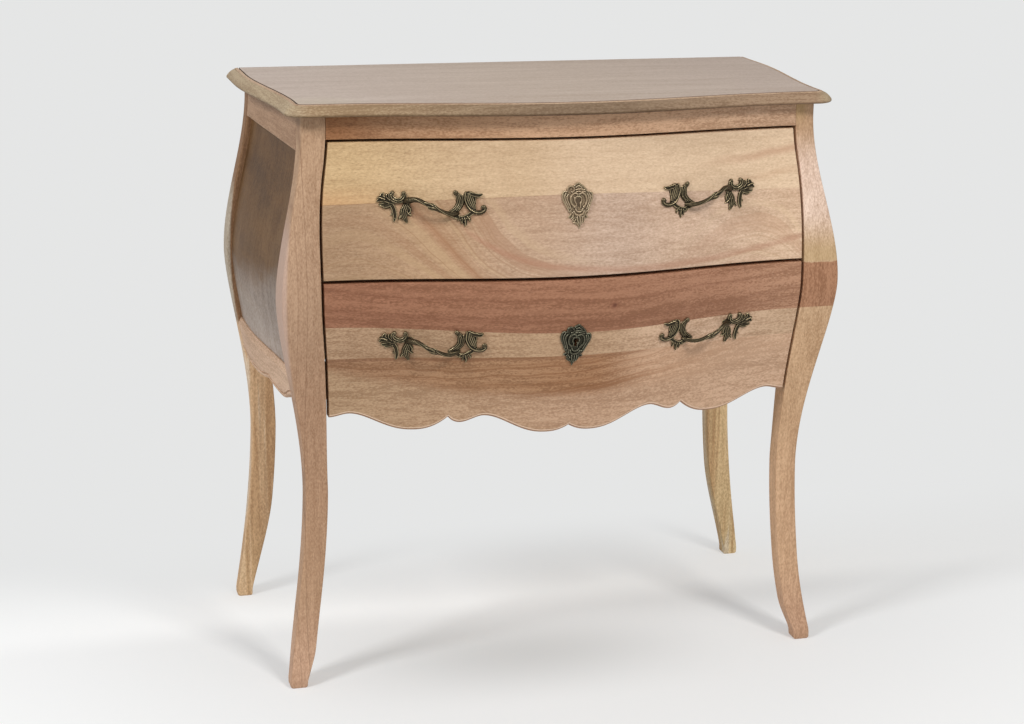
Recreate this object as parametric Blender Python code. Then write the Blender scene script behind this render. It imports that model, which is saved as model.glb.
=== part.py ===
"""A two-drawer bombe chest of drawers on four splayed legs, in raw wood with cast brass pulls.

The case frame has x across the chest, y = 0 on its back plane with the front at negative y,
and z = 0 on the floor. One empty carries the case, so that the model's origin lies on the
floor under the middle of the chest. All lengths are in metres.
"""
import math

import bmesh
import bpy
from mathutils import Matrix, Vector

# Gaps between touching pieces, overrun of cuts, and the step for reading a slope
JOINT_GAP = 0.0003
CURVE_GAP = 0.0009
CUT_OVERRUN = 0.002
SLOPE_STEP = 0.001

# Outer front corner of a front post: where it stands at the knee, and how far it swells
KNEE_HALF_WIDTH = 0.398
KNEE_DEPTH = 0.400
SIDE_BULGE = 0.038
FRONT_BULGE = 0.0405
BULGE_HEIGHT = 0.605
BULGE_RISE = 0.260
BULGE_FALL = 0.305
BULGE_FALL_POWER = 0.82

# Outward kick of the feet, sideways and to the front
SIDE_KICK = 0.0306
SIDE_KICK_START = 0.300
SIDE_TOE_HEIGHT = 0.012
SIDE_KICK_POWER = 1.7
FRONT_KICK = 0.021
FRONT_KICK_START = 0.120
FRONT_TOE_HEIGHT = 0.018
FRONT_KICK_POWER = 2.0

# The sides run in a long wave from the front posts out to the wider rear posts
REAR_SPREAD = 0.0266
REAR_SPREAD_AT_TOP = 0.0245
SIDE_WAVE_START_SHARE = 0.03
SIDE_WAVE_LENGTH_SHARE = 0.77

# The front is bowed between the posts
BOW_SIDE_MARGIN = 0.018
BOW_DEPTH = 0.0395
BOW_DEPTH_GAIN = 0.0065
POST_TURN = 0.010

# Posts
POST_LEVELS = 27
POST_WIDTH = 0.034
POST_WIDTH_SWELL = 0.0245
POST_THICKNESS = 0.030
POST_THICKNESS_SWELL = 0.024
POST_SWELL_RISE = 0.195
POST_SWELL_FALL = 0.285
POST_FOOT_WIDTH = 0.026
POST_FOOT_TAPER_HEIGHT = 0.060
POST_EDGE = 0.003
ROW_MARGIN = 0.002
POST_TURN_MIDDLE_SHARE = 0.65
REAR_POST_WIDTH = 0.039
REAR_POST_WIDTH_SWELL = 0.004
REAR_POST_THICKNESS = 0.028
REAR_POST_THICKNESS_SWELL = 0.010
REAR_FOOT_WIDTH = 0.025
REAR_FOOT_TAPER_HEIGHT = 0.180

# Rails and panels of the two sides
SIDE_RAIL_THICKNESS = 0.022
SIDE_TOP_RAIL_HEIGHT = 0.056
SIDE_RAIL_LIFT = 0.0135
SIDE_BOTTOM_RAIL_HEIGHT = 0.053
SIDE_SCALLOP_DEPTH = 0.0085
SIDE_PANEL_THICKNESS = 0.006
SIDE_PANEL_RECESS = 0.009
SIDE_COLUMNS = 16
# Along the scalloped edge: place from the rear post to the front post, and height
SIDE_SCALLOP_SHARES = (
    (0.0, 0.0, "end"),
    (0.31, -0.95, "low"),
    (0.58, 0.25, "cusp"),
    (0.79, -0.9, "low"),
    (1.0, 1.6, "end"),
)

# Drawers and the gaps round their fronts
DRAWERS_START = 0.4285
LOWER_DRAWER_HEIGHT = 0.2115
UPPER_DRAWER_HEIGHT = 0.1985
DRAWER_ROW_GAP = 0.005
DRAWER_SIDE_GAP = 0.004
TOP_RAIL_HEIGHT = 0.035
TOP_RAIL_THICKNESS = 0.022
DRAWER_FRONT_THICKNESS = 0.022
DRAWER_FRONT_EDGE = 0.0018
DRAWER_FRONT_ROWS = 8
UPPER_FRONT_COLUMNS = 24
APRON_DEPTH = 0.0345
APRON_COLUMN_SHARE = 0.055
# Along the apron: place from the middle to the end of the drawer front, and height
APRON_SHARES = (
    (0.0, -0.716, "cusp"),
    (0.097, -1.0, "low"),
    (0.364, -0.10, "peak"),
    (0.463, -0.406, "low"),
    (0.513, -0.13, "cusp"),
    (0.654, -0.725, "low"),
    (0.923, 0.136, "peak"),
    (1.0, 0.0, "end"),
)
CUSP_POWER = 2.3
PEAK_POWER = 1.2

# Drawer boxes behind the fronts
BOX_SIDE_SPACE = 0.044
BOX_SIDE_THICKNESS = 0.014
BOX_BACK_THICKNESS = 0.012
BOX_BOTTOM_THICKNESS = 0.006
BOX_BACK_SPACE = 0.017
UPPER_BOX_LIFT = 0.019
UPPER_BOX_DROP = 0.022
LOWER_BOX_LIFT = 0.0715
LOWER_BOX_DROP = 0.018
BOX_ROWS = 5
BOTTOM_COLUMNS = 12

# Rails across the case, runners that carry the drawers, kickers that keep them level
FRONT_REVEAL = 0.003
DIVIDER_DROP = 0.0145
CROSS_RAIL_WIDTH = 0.050
BOTTOM_RAIL_LIFT = 0.0235
CROSS_RAIL_COLUMNS = 14
BACK_RAIL_THICKNESS = 0.022
BACK_TOP_RAIL_HEIGHT = 0.048
BACK_DROP = 0.0165
BACK_PANEL_THICKNESS = 0.004
RUNNER_WIDTH = 0.020
RUNNER_THICKNESS = 0.014
GUIDE_WIDTH = 0.008
GUIDE_HEIGHT = 0.010
GUIDE_CLEARANCE = 0.0015
KICKER_HEIGHT = 0.034
KICKER_CLEARANCE = 0.003

# Top board and its moulding
TOP_THICKNESS = 0.0175
TOP_SIDE_MARGIN = 0.0048
TOP_FRONT_MARGIN = 0.010
TOP_SPREAD = 0.0275
TOP_BOW = 0.0425
TOP_CORNER_RADIUS = 0.010
TOP_WAVE_START_SHARE = 0.06
TOP_WAVE_LENGTH_SHARE = 0.74
TOP_SIDE_POINTS = 12
TOP_CORNER_POINTS = 4
TOP_FRONT_POINTS = 12
TOP_PANEL_EDGE = 0.001
MOULDING_WIDTH = 0.0205
# Moulding section: outward place as a share of its width, drop as a share of its thickness
MOULDING_SHARES = (
    (0.0, 0.0),
    (0.20, 0.045),
    (0.44, 0.17),
    (0.66, 0.31),
    (0.85, 0.49),
    (0.985, 0.69),
    (1.0, 0.84),
    (0.93, 0.96),
    (0.78, 1.0),
    (0.0, 1.0),
)

# Cast pulls: two openwork plates joined by an S-shaped grip with a knot in its middle
PULL_SIDE_SPACE = 0.184
UPPER_PULL_RISE = 0.007
LOWER_PULL_RISE = 0.0115
PULL_SCREW_SPACING = 0.096
PULL_SCREW_RISE = 0.006
PULL_PLATE_THICKNESS = 0.004
PULL_PLATE_WIDTH = 0.052
PULL_PLATE_HEIGHT = 0.050
PULL_HUB_RADIUS = 0.0045
PULL_HUB_HEIGHT = 0.0075
PULL_GRIP_REACH = 0.022
PULL_GRIP_OVERLAP = 0.004
PULL_GRIP_RISE = 0.010
PULL_GRIP_RADIUS = 0.0036
PULL_GRIP_SIDES = 8
PULL_CASTING_SWELL = 0.0006
# Outer plate round its screw: places as shares of the plate's width and height
OUTER_PLATE_SHARES = (
    (-0.65, -0.09), (-0.57, 0.06), (-0.46, 0.22), (-0.37, 0.09), (-0.25, 0.27),
    (-0.15, 0.21), (-0.12, 0.09), (-0.02, 0.04), (0.08, 0.10), (0.13, 0.26),
    (0.22, 0.21), (0.25, 0.08), (0.35, 0.0), (0.38, -0.13), (0.31, -0.22),
    (0.34, -0.40), (0.28, -0.48), (0.31, -0.65), (0.18, -0.68), (0.05, -0.50),
    (-0.04, -0.42), (-0.11, -0.56), (-0.24, -0.62), (-0.17, -0.44), (-0.18, -0.31),
    (-0.34, -0.24), (-0.49, -0.13),
)
OUTER_OPENING_SHARES = ((-0.10, -0.12), (0.09, -0.10), (-0.01, -0.30))
INNER_PLATE_SHARES = (
    (-0.42, -0.21), (-0.30, -0.10), (-0.26, 0.08), (-0.25, 0.20), (-0.34, 0.29),
    (-0.23, 0.36), (-0.10, 0.30), (-0.02, 0.20), (0.04, 0.33), (0.15, 0.35),
    (0.28, 0.29), (0.49, 0.27), (0.48, 0.20), (0.35, 0.12), (0.29, -0.01),
    (0.31, -0.15), (0.45, -0.16), (0.48, -0.09), (0.61, -0.12), (0.58, -0.27),
    (0.41, -0.37), (0.24, -0.43), (0.18, -0.57), (0.07, -0.57), (0.01, -0.69),
    (-0.08, -0.60), (-0.20, -0.57), (-0.16, -0.48), (-0.25, -0.36), (-0.42, -0.33),
)
INNER_OPENING_SHARES = ((0.02, -0.12), (0.17, -0.27), (0.01, -0.45), (-0.13, -0.30))
# Grip path: place across, rise, reach from the wood, and thickness, as shares
GRIP_SHARES = (
    (-0.40, 0.55, 0.10, 1.10),
    (-0.34, 0.80, 0.34, 1.20),
    (-0.25, 0.95, 0.66, 1.15),
    (-0.15, 0.72, 0.88, 1.05),
    (-0.07, 0.32, 0.98, 1.20),
    (0.00, -0.05, 1.00, 1.50),
    (0.07, -0.40, 0.97, 1.25),
    (0.15, -0.72, 0.86, 1.00),
    (0.24, -0.95, 0.63, 0.95),
    (0.33, -1.00, 0.34, 1.00),
    (0.39, -0.80, 0.10, 1.05),
)

# Screws of the pulls
SCREW_RADIUS = 0.002
SCREW_CLEARANCE = 0.0003
SCREW_ENGAGEMENT = 0.0052
SCREW_HEAD_RADIUS = 0.004
SCREW_HEAD_HEIGHT = 0.0025
SCREW_SIDES = 8
WOOD_DEPTH_STEPS = 6

# Keyhole plates; only the lower one covers a real keyhole and a lock
KEY_PLATE_HALF_WIDTH = 0.0245
KEY_PLATE_HEIGHT = 0.069
KEY_PLATE_THICKNESS = 0.003
KEY_PLATE_RISE = 0.011
LOWER_KEY_PLATE_TURN = math.radians(5.0)
KEYHOLE_RADIUS = 0.0038
KEYHOLE_SLOT_WIDTH = 0.0036
KEYHOLE_SLOT_DROP = 0.0095
KEYHOLE_BORE_MARGIN = 0.001
KEYHOLE_SIDES = 10
# Half outline of a keyhole plate: shares of its half width and its height, top to bottom
KEY_PLATE_SHARES = (
    (0.18, 0.370), (0.37, 0.304), (0.62, 0.254), (0.61, 0.164), (0.80, 0.186),
    (0.98, 0.130), (1.00, 0.065), (0.94, -0.022), (0.82, -0.099), (0.67, -0.186),
    (0.55, -0.261), (0.66, -0.362), (0.43, -0.403), (0.31, -0.413), (0.24, -0.478),
    (0.12, -0.543),
)
KEY_PLATE_TOP_SHARE = 0.391
KEY_PLATE_TAIL_SHARE = -0.609
LOCK_WIDTH = 0.050
LOCK_TOP_DROP = 0.01775
LOCK_FLOOR_SPACE = 0.01225
LOCK_KEYHOLE_RISE = 0.028
LOCK_THICKNESS = 0.012
LOCK_KEY_POCKET = 0.008
BOLT_WIDTH = 0.012
BOLT_THICKNESS = 0.004
BOLT_ENGAGEMENT = 0.018
BOLT_CLEARANCE = 0.0004
BOLT_HEADROOM = 0.0015
BOLT_TRAVEL = 0.008

# Colours of the materials
FRAME_WOOD = (0.50, 0.36, 0.26)
DRAWER_WOOD = (0.56, 0.42, 0.29)
TOP_WOOD = (0.47, 0.40, 0.34)
MOULDING_WOOD = (0.42, 0.31, 0.20)
PANEL_BOARD = (0.17, 0.13, 0.10)
INNER_WOOD = (0.60, 0.47, 0.33)
PLYWOOD = (0.58, 0.47, 0.34)
AGED_BRASS = (0.20, 0.16, 0.10)
LOCK_STEEL = (0.52, 0.52, 0.50)


def ease(share):
    """A smooth step from 0 to 1."""
    held = min(max(share, 0.0), 1.0)
    return held * held * (3.0 - 2.0 * held)


def bulge_share(z):
    """How much of the bulge the case has at height z."""
    if z > BULGE_HEIGHT:
        return 1.0 - ease((z - BULGE_HEIGHT) / BULGE_RISE)
    fallen = min((BULGE_HEIGHT - z) / BULGE_FALL, 1.0)
    return 1.0 - ease(fallen ** BULGE_FALL_POWER)


def swell_share(z):
    """How much of the post's extra thickness it has at height z."""
    if z > BULGE_HEIGHT:
        return 1.0 - ease((z - BULGE_HEIGHT) / POST_SWELL_RISE)
    return 1.0 - ease((BULGE_HEIGHT - z) / POST_SWELL_FALL)


def kick_share(z, toe, start, power):
    """How much of a foot's outward kick it has at height z."""
    return max(1.0 - max(z - toe, 0.0) / start, 0.0) ** power


def corner_half_width(z):
    kick = kick_share(z, SIDE_TOE_HEIGHT, SIDE_KICK_START, SIDE_KICK_POWER)
    return KNEE_HALF_WIDTH + SIDE_BULGE * bulge_share(z) + SIDE_KICK * kick


def corner_depth(z):
    kick = kick_share(z, FRONT_TOE_HEIGHT, FRONT_KICK_START, FRONT_KICK_POWER)
    return KNEE_DEPTH + FRONT_BULGE * bulge_share(z) + FRONT_KICK * kick


def post_turn(z):
    """How far a front post's inner edge stands before its outer edge."""
    if z > BULGE_HEIGHT:
        return POST_TURN * (1.0 - bulge_share(z))
    return 0.0


def foot_taper(z, taper_height, width, foot_width):
    return (width - foot_width) * (1.0 - ease(z / taper_height))


def post_width(z):
    taper = foot_taper(z, POST_FOOT_TAPER_HEIGHT, POST_WIDTH, POST_FOOT_WIDTH)
    return POST_WIDTH + POST_WIDTH_SWELL * swell_share(z) - taper


def post_thickness(z):
    taper = foot_taper(z, POST_FOOT_TAPER_HEIGHT, POST_THICKNESS, POST_FOOT_WIDTH)
    return POST_THICKNESS + POST_THICKNESS_SWELL * swell_share(z) - taper


def post_inner(z):
    """Half of the space between the front posts at height z."""
    return corner_half_width(z) - post_width(z)


def post_back_depth(z):
    return corner_depth(z) - post_thickness(z)


def side_half_width(depth, z):
    """Outer surface of a side, at a depth measured forward from the back plane.

    Its plan is a long wave at the bulge and below, and straight at the top.
    """
    straight = ease((z - BULGE_HEIGHT) / BULGE_RISE)
    spread = REAR_SPREAD + (REAR_SPREAD_AT_TOP - REAR_SPREAD) * straight
    run_back = 1.0 - depth / corner_depth(z)
    waved = ease((run_back - SIDE_WAVE_START_SHARE) / SIDE_WAVE_LENGTH_SHARE)
    return corner_half_width(z) + spread * (waved + (run_back - waved) * straight)


def rear_post_width(z):
    taper = foot_taper(z, REAR_FOOT_TAPER_HEIGHT, REAR_POST_WIDTH, REAR_FOOT_WIDTH)
    return REAR_POST_WIDTH + REAR_POST_WIDTH_SWELL * swell_share(z) - taper


def rear_post_thickness(z):
    taper = foot_taper(z, POST_FOOT_TAPER_HEIGHT, REAR_POST_THICKNESS, REAR_FOOT_WIDTH)
    return REAR_POST_THICKNESS + REAR_POST_THICKNESS_SWELL * swell_share(z) - taper


def rear_inner(z):
    """Half of the space between the rear posts at height z."""
    return side_half_width(0.0, z) - rear_post_width(z)


def bow_share(x):
    return 0.5 + 0.5 * math.cos(math.pi * min(abs(x) / BOW_HALF_WIDTH, 1.0))


def front_depth(x, z):
    """Bowed and bombe surface of the drawer fronts, measured forward from the back plane."""
    bow = BOW_DEPTH + BOW_DEPTH_GAIN * bulge_share(z)
    return corner_depth(z) + post_turn(z) + bow * bow_share(x)


def wave(table, place):
    """Height share of a scalloped edge: smooth at peaks and lows, sharp at cusps."""
    for (start, start_height, start_kind), (end, end_height, end_kind) in zip(table, table[1:]):
        if place > end:
            continue
        run = (place - start) / (end - start)
        if end_kind == "cusp":
            return start_height + (end_height - start_height) * run ** CUSP_POWER
        if start_kind == "cusp":
            return end_height + (start_height - end_height) * (1.0 - run) ** CUSP_POWER
        if end_kind == "peak":
            run = run ** PEAK_POWER
        return start_height + (end_height - start_height) * ease(run)
    return table[-1][1]


# Heights, from the floor up, worked out from the driving sizes
LOWER_FRONT_TOP = DRAWERS_START + LOWER_DRAWER_HEIGHT
UPPER_FRONT_BOTTOM = LOWER_FRONT_TOP + DRAWER_ROW_GAP
UPPER_FRONT_TOP = UPPER_FRONT_BOTTOM + UPPER_DRAWER_HEIGHT
TOP_RAIL_BOTTOM = UPPER_FRONT_TOP + DRAWER_SIDE_GAP
TOP_UNDERSIDE = TOP_RAIL_BOTTOM + TOP_RAIL_HEIGHT
CASE_HEIGHT = TOP_UNDERSIDE + TOP_THICKNESS
FRAME_TOP = TOP_UNDERSIDE - JOINT_GAP
SIDE_RAIL_START = DRAWERS_START + SIDE_RAIL_LIFT
BACK_START = DRAWERS_START - BACK_DROP
UPPER_BOX_BOTTOM = UPPER_FRONT_BOTTOM + UPPER_BOX_LIFT
UPPER_BOX_TOP = UPPER_FRONT_TOP - UPPER_BOX_DROP
LOWER_BOX_BOTTOM = DRAWERS_START + LOWER_BOX_LIFT
LOWER_BOX_TOP = LOWER_FRONT_TOP - LOWER_BOX_DROP
DIVIDER_BOTTOM = UPPER_FRONT_BOTTOM - DIVIDER_DROP
DIVIDER_TOP = UPPER_BOX_BOTTOM - JOINT_GAP
BOTTOM_RAIL_BOTTOM = DRAWERS_START + BOTTOM_RAIL_LIFT
BOTTOM_RAIL_TOP = LOWER_BOX_BOTTOM - JOINT_GAP
UPPER_DRAWER_MIDDLE = (UPPER_FRONT_BOTTOM + UPPER_FRONT_TOP) / 2
UPPER_PULL_HEIGHT = UPPER_DRAWER_MIDDLE + UPPER_PULL_RISE
LOWER_PULL_HEIGHT = (DRAWERS_START + LOWER_FRONT_TOP) / 2 + LOWER_PULL_RISE
UPPER_KEYHOLE_HEIGHT = UPPER_DRAWER_MIDDLE + KEY_PLATE_RISE
LOCK_BOTTOM = LOWER_BOX_BOTTOM + BOX_BOTTOM_THICKNESS + LOCK_FLOOR_SPACE
LOWER_KEYHOLE_HEIGHT = LOCK_BOTTOM + LOCK_KEYHOLE_RISE
LOCK_TOP = LOWER_FRONT_TOP - LOCK_TOP_DROP

# Widths and depths worked out from the driving sizes
BOW_HALF_WIDTH = KNEE_HALF_WIDTH - BOW_SIDE_MARGIN
BOX_HALF_WIDTH = KNEE_HALF_WIDTH - SIDE_RAIL_THICKNESS - BOX_SIDE_SPACE
TOP_HALF_WIDTH = KNEE_HALF_WIDTH + TOP_SIDE_MARGIN
TOP_FRONT_DEPTH = KNEE_DEPTH + TOP_FRONT_MARGIN
PULL_PLACE = KNEE_HALF_WIDTH - PULL_SIDE_SPACE
PULL_GRIP_WIDTH = PULL_SCREW_SPACING + PULL_GRIP_OVERLAP
CROSS_RAIL_BACK_DEPTH = KNEE_DEPTH - CROSS_RAIL_WIDTH
BACK_RAIL_FRONT = BACK_PANEL_THICKNESS + 2 * JOINT_GAP + BACK_RAIL_THICKNESS
BOX_BACK_DEPTH = BACK_RAIL_FRONT + BOX_BACK_SPACE


def clear_scene():
    for item in list(bpy.data.objects):
        bpy.data.objects.remove(item)


def make_material(name, colour, roughness, metallic=0.0):
    material = bpy.data.materials.new(name)
    material.use_nodes = True
    shader = material.node_tree.nodes["Principled BSDF"]
    shader.inputs["Base Color"].default_value = (*colour, 1.0)
    shader.inputs["Roughness"].default_value = roughness
    shader.inputs["Metallic"].default_value = metallic
    return material


def make_empty(name, parent=None, location=(0.0, 0.0, 0.0)):
    empty = bpy.data.objects.new(name, None)
    bpy.context.scene.collection.objects.link(empty)
    empty.location = location
    empty.parent = parent
    return empty


def add_object(name, mesh, material, parent, matrix=None):
    """Puts a mesh in the scene under its parent, smooth except at real edges."""
    piece = bpy.data.objects.new(name, mesh)
    bpy.context.scene.collection.objects.link(piece)
    piece.parent = parent
    if matrix is not None:
        piece.matrix_local = matrix
    mesh.materials.clear()
    mesh.materials.append(material)
    mesh.shade_smooth()
    mesh.set_sharp_from_angle(angle=math.radians(35.0))
    return piece


def fill_bent_end(work, first, second):
    """Fills a bent end between two upright lines of points, one step of height at a time."""
    here = 0
    there = 0
    while here < len(first) - 1 or there < len(second) - 1:
        first_has_more = here < len(first) - 1
        second_done = there == len(second) - 1
        if first_has_more and (second_done or first[here + 1].co.z <= second[there + 1].co.z):
            work.faces.new((first[here], first[here + 1], second[there]))
            here += 1
        else:
            work.faces.new((first[here], second[there + 1], second[there]))
            there += 1


def loft_mesh(name, rings, first_line=0):
    """A closed solid through a row of closed rings, with its two ends filled.

    Where the ends are bent, each ring goes up one line of points, first_line of them, and
    down another.
    """
    work = bmesh.new()
    rows = [[work.verts.new(point) for point in ring] for ring in rings]
    count = len(rows[0])
    for row, following in zip(rows, rows[1:]):
        for here in range(count):
            beside = (here + 1) % count
            work.faces.new((row[here], row[beside], following[beside], following[here]))
    for row in (rows[0], rows[-1]):
        if first_line:
            fill_bent_end(work, row[:first_line], list(reversed(row[first_line:])))
        else:
            work.faces.new(row)
    bmesh.ops.recalc_face_normals(work, faces=work.faces)
    mesh = bpy.data.meshes.new(name)
    work.to_mesh(mesh)
    work.free()
    return mesh


def prism_mesh(name, outline, start, end):
    """An outline in x and z, extruded along y."""
    return loft_mesh(name, [[(x, y, z) for x, z in outline] for y in (start, end)])


def box_mesh(name, low, high):
    outline = ((low[0], low[2]), (high[0], low[2]), (high[0], high[2]), (low[0], high[2]))
    return prism_mesh(name, outline, low[1], high[1])


def cylinder_mesh(name, radius, start, end, sides, centre=(0.0, 0.0)):
    outline = []
    for turn in levels(0.0, 2.0 * math.pi, sides)[:-1]:
        outline.append((centre[0] + radius * math.cos(turn), centre[1] + radius * math.sin(turn)))
    return prism_mesh(name, outline, start, end)


def carved_mesh(mesh, joined=(), cut=()):
    """The mesh after exact Boolean joins and cuts with (mesh, matrix) tools."""
    scene = bpy.context.scene.collection.objects
    base = bpy.data.objects.new("base", mesh)
    scene.link(base)
    helpers = []
    for operation, tools in (("UNION", joined), ("DIFFERENCE", cut)):
        for tool_mesh, matrix in tools:
            tool = bpy.data.objects.new("tool", tool_mesh)
            scene.link(tool)
            tool.matrix_world = matrix
            tool.hide_render = True
            tool.display_type = "WIRE"
            modifier = base.modifiers.new(operation, "BOOLEAN")
            modifier.operation = operation
            modifier.solver = "EXACT"
            modifier.object = tool
            helpers.append(tool)
    bpy.context.view_layer.update()
    evaluated = base.evaluated_get(bpy.context.evaluated_depsgraph_get())
    result = bpy.data.meshes.new_from_object(evaluated)
    for item in [base] + helpers:
        bpy.data.objects.remove(item)
    return result


def levels(start, end, count):
    return [start + (end - start) * index / count for index in range(count + 1)]


def mirrored(ring, side):
    return [(side * x, y, z) for x, y, z in ring]


def front_post_ring(z):
    outer = corner_half_width(z)
    inner = post_inner(z)
    depth = corner_depth(z)
    turn = post_turn(z)
    back = post_back_depth(z)
    middle = (inner + outer) / 2
    return [
        (inner, -(depth + turn), z),
        (middle, -(depth + turn * POST_TURN_MIDDLE_SHARE), z),
        (outer - POST_EDGE, -depth, z),
        (outer, -(depth - POST_EDGE), z),
        (side_half_width(back, z), -back, z),
        (inner, -back, z),
    ]


def rear_post_ring(z):
    outer = side_half_width(0.0, z)
    inner = rear_inner(z)
    thickness = rear_post_thickness(z)
    return [
        (inner, -thickness, z),
        (side_half_width(thickness, z), -thickness, z),
        (outer, 0.0, z),
        (inner, 0.0, z),
    ]


def post_heights(start, end):
    """Heights for a board between posts, with a row wherever the posts have one."""
    between = [z for z in levels(0.0, FRAME_TOP, POST_LEVELS) if start + ROW_MARGIN < z < end - ROW_MARGIN]
    return [start] + between + [end]


def on_post(measure, z):
    """A size of a post at height z, on the flats between its rows."""
    row = FRAME_TOP / POST_LEVELS
    index = min(int(z / row), POST_LEVELS - 1)
    share = z / row - index
    return measure(index * row) * (1.0 - share) + measure((index + 1) * row) * share


def make_posts(case, wood):
    heights = levels(0.0, FRAME_TOP, POST_LEVELS)
    for side_name, side in (("left", -1), ("right", 1)):
        for place, ring in (("front", front_post_ring), ("rear", rear_post_ring)):
            name = f"{place}_{side_name}_post"
            rings = [mirrored(ring(z), side) for z in heights]
            add_object(name, loft_mesh(name, rings), wood, case)


def side_point(share, z, inset):
    """A point on a side between its two posts, set in from the outer surface."""
    rear = on_post(rear_post_thickness, z) + JOINT_GAP
    front = on_post(post_back_depth, z) - JOINT_GAP
    depth = rear + (front - rear) * share
    return (side_half_width(depth, z) - inset, -depth, z)


def side_strip_rings(bottom, top, outer_inset, inner_inset):
    """Rings of a board that fills the side between its posts; bottom depends on the share."""
    shares = levels(0.0, 1.0, SIDE_COLUMNS)
    upper_rows = post_heights(max(bottom(share) for share in shares), top)[1:]
    rings = []
    for share in shares:
        heights = [bottom(share)] + upper_rows
        outside = [side_point(share, z, outer_inset) for z in heights]
        inside = [side_point(share, z, inner_inset) for z in reversed(heights)]
        rings.append(outside + inside)
    return rings


def side_bottom_edge(share):
    return SIDE_RAIL_START + SIDE_SCALLOP_DEPTH * wave(SIDE_SCALLOP_SHARES, share)


def make_sides(case, wood, board):
    rail_top = SIDE_RAIL_START + SIDE_BOTTOM_RAIL_HEIGHT
    top_rail_bottom = FRAME_TOP - SIDE_TOP_RAIL_HEIGHT
    panel_bottom = rail_top + JOINT_GAP
    panel_top = top_rail_bottom - JOINT_GAP
    panel_inside = SIDE_PANEL_RECESS + SIDE_PANEL_THICKNESS
    parts = (
        ("bottom_rail", side_bottom_edge, rail_top, 0.0, SIDE_RAIL_THICKNESS, wood),
        ("top_rail", lambda share: top_rail_bottom, FRAME_TOP, 0.0, SIDE_RAIL_THICKNESS, wood),
        ("side_panel", lambda share: panel_bottom, panel_top, SIDE_PANEL_RECESS, panel_inside, board),
    )
    for side_name, side in (("left", -1), ("right", 1)):
        for part, bottom, top, outer_inset, inner_inset, material in parts:
            name = f"{side_name}_{part}"
            rings = side_strip_rings(bottom, top, outer_inset, inner_inset)
            mesh = loft_mesh(name, [mirrored(ring, side) for ring in rings], len(rings[0]) // 2)
            add_object(name, mesh, material, case)


def front_board_rings(columns, bottom, top, rows, side_gap, setback, thickness, edge):
    """Rings across the chest of a board that follows the front; bottom depends on the share.

    Its rows are heights, or None for the even rows of a drawer front. A thickness of None
    gives a straight back at the cross rails' depth.
    """
    rings = []
    for share in columns:
        front = []
        back = []
        for z in rows or levels(bottom(share), top, DRAWER_FRONT_ROWS):
            x = share * (on_post(post_inner, z) - side_gap)
            depth = front_depth(x, z) - setback
            back_depth = CROSS_RAIL_BACK_DEPTH if thickness is None else depth - thickness
            front.append((x, -depth, z))
            back.append((x, -back_depth, z))
        if edge:
            front = rounded_ends(front, edge)
        rings.append(front + list(reversed(back)))
    return rings


def rounded_ends(line, edge):
    """Eases the lower and the upper edge of a front."""
    x, y, z = line[0]
    lower = [(x, y + edge, z), (x, y, z + edge)]
    x, y, z = line[-1]
    upper = [(x, y, z - edge), (x, y + edge, z)]
    return lower + line[1:-1] + upper


def apron_columns():
    """Places across the lower front, with one at each peak, low and cusp of its apron."""
    half = []
    for (start, _, _), (end, _, _) in zip(APRON_SHARES, APRON_SHARES[1:]):
        steps = max(2, round((end - start) / APRON_COLUMN_SHARE))
        half.extend(levels(start, end, steps)[:-1])
    half.append(APRON_SHARES[-1][0])
    return [-share for share in reversed(half[1:])] + half


def apron_edge(share):
    return DRAWERS_START + APRON_DEPTH * wave(APRON_SHARES, abs(share))


def make_front_rails(case, wood, inner_wood):
    columns = levels(-1.0, 1.0, CROSS_RAIL_COLUMNS)
    rows = post_heights(TOP_RAIL_BOTTOM, FRAME_TOP)
    rings = front_board_rings(columns, None, None, rows, JOINT_GAP, 0.0, TOP_RAIL_THICKNESS, 0.0)
    add_object("front_top_rail", loft_mesh("front_top_rail", rings, len(rows)), wood, case)

    hidden = DRAWER_FRONT_THICKNESS + FRONT_REVEAL
    rows = post_heights(DIVIDER_BOTTOM, DIVIDER_TOP)
    rings = front_board_rings(columns, None, None, rows, JOINT_GAP, hidden, None, 0.0)
    divider = loft_mesh("drawer_divider_rail", rings, len(rows))
    divider = carved_mesh(divider, cut=((bolt_mortise_mesh(), Matrix.Identity(4)),))
    add_object("drawer_divider_rail", divider, inner_wood, case)

    rows = post_heights(BOTTOM_RAIL_BOTTOM, BOTTOM_RAIL_TOP)
    rings = front_board_rings(columns, None, None, rows, JOINT_GAP, hidden, None, 0.0)
    add_object("bottom_front_rail", loft_mesh("bottom_front_rail", rings, len(rows)), inner_wood, case)


def back_board_mesh(name, bottom, top, back, front):
    """A board between the rear posts, whose ends follow their curve."""
    right = [(on_post(rear_inner, z) - JOINT_GAP, z) for z in post_heights(bottom, top)]
    left = [(-x, z) for x, z in reversed(right)]
    return prism_mesh(name, right + left, -front, -back)


def make_back(case, wood, plywood):
    panel_back = JOINT_GAP
    rail_back = panel_back + BACK_PANEL_THICKNESS + JOINT_GAP
    bottom_top = LOWER_BOX_BOTTOM - JOINT_GAP
    rails = (
        ("back_top_rail", FRAME_TOP - BACK_TOP_RAIL_HEIGHT, FRAME_TOP),
        ("back_middle_rail", DIVIDER_BOTTOM, DIVIDER_TOP),
        ("back_bottom_rail", BACK_START, bottom_top),
    )
    for name, bottom, top in rails:
        mesh = back_board_mesh(name, bottom, top, rail_back, rail_back + BACK_RAIL_THICKNESS)
        add_object(name, mesh, wood, case)
    mesh = back_board_mesh(
        "back_panel", BACK_START, FRAME_TOP, panel_back, panel_back + BACK_PANEL_THICKNESS)
    add_object("back_panel", mesh, plywood, case)


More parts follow.
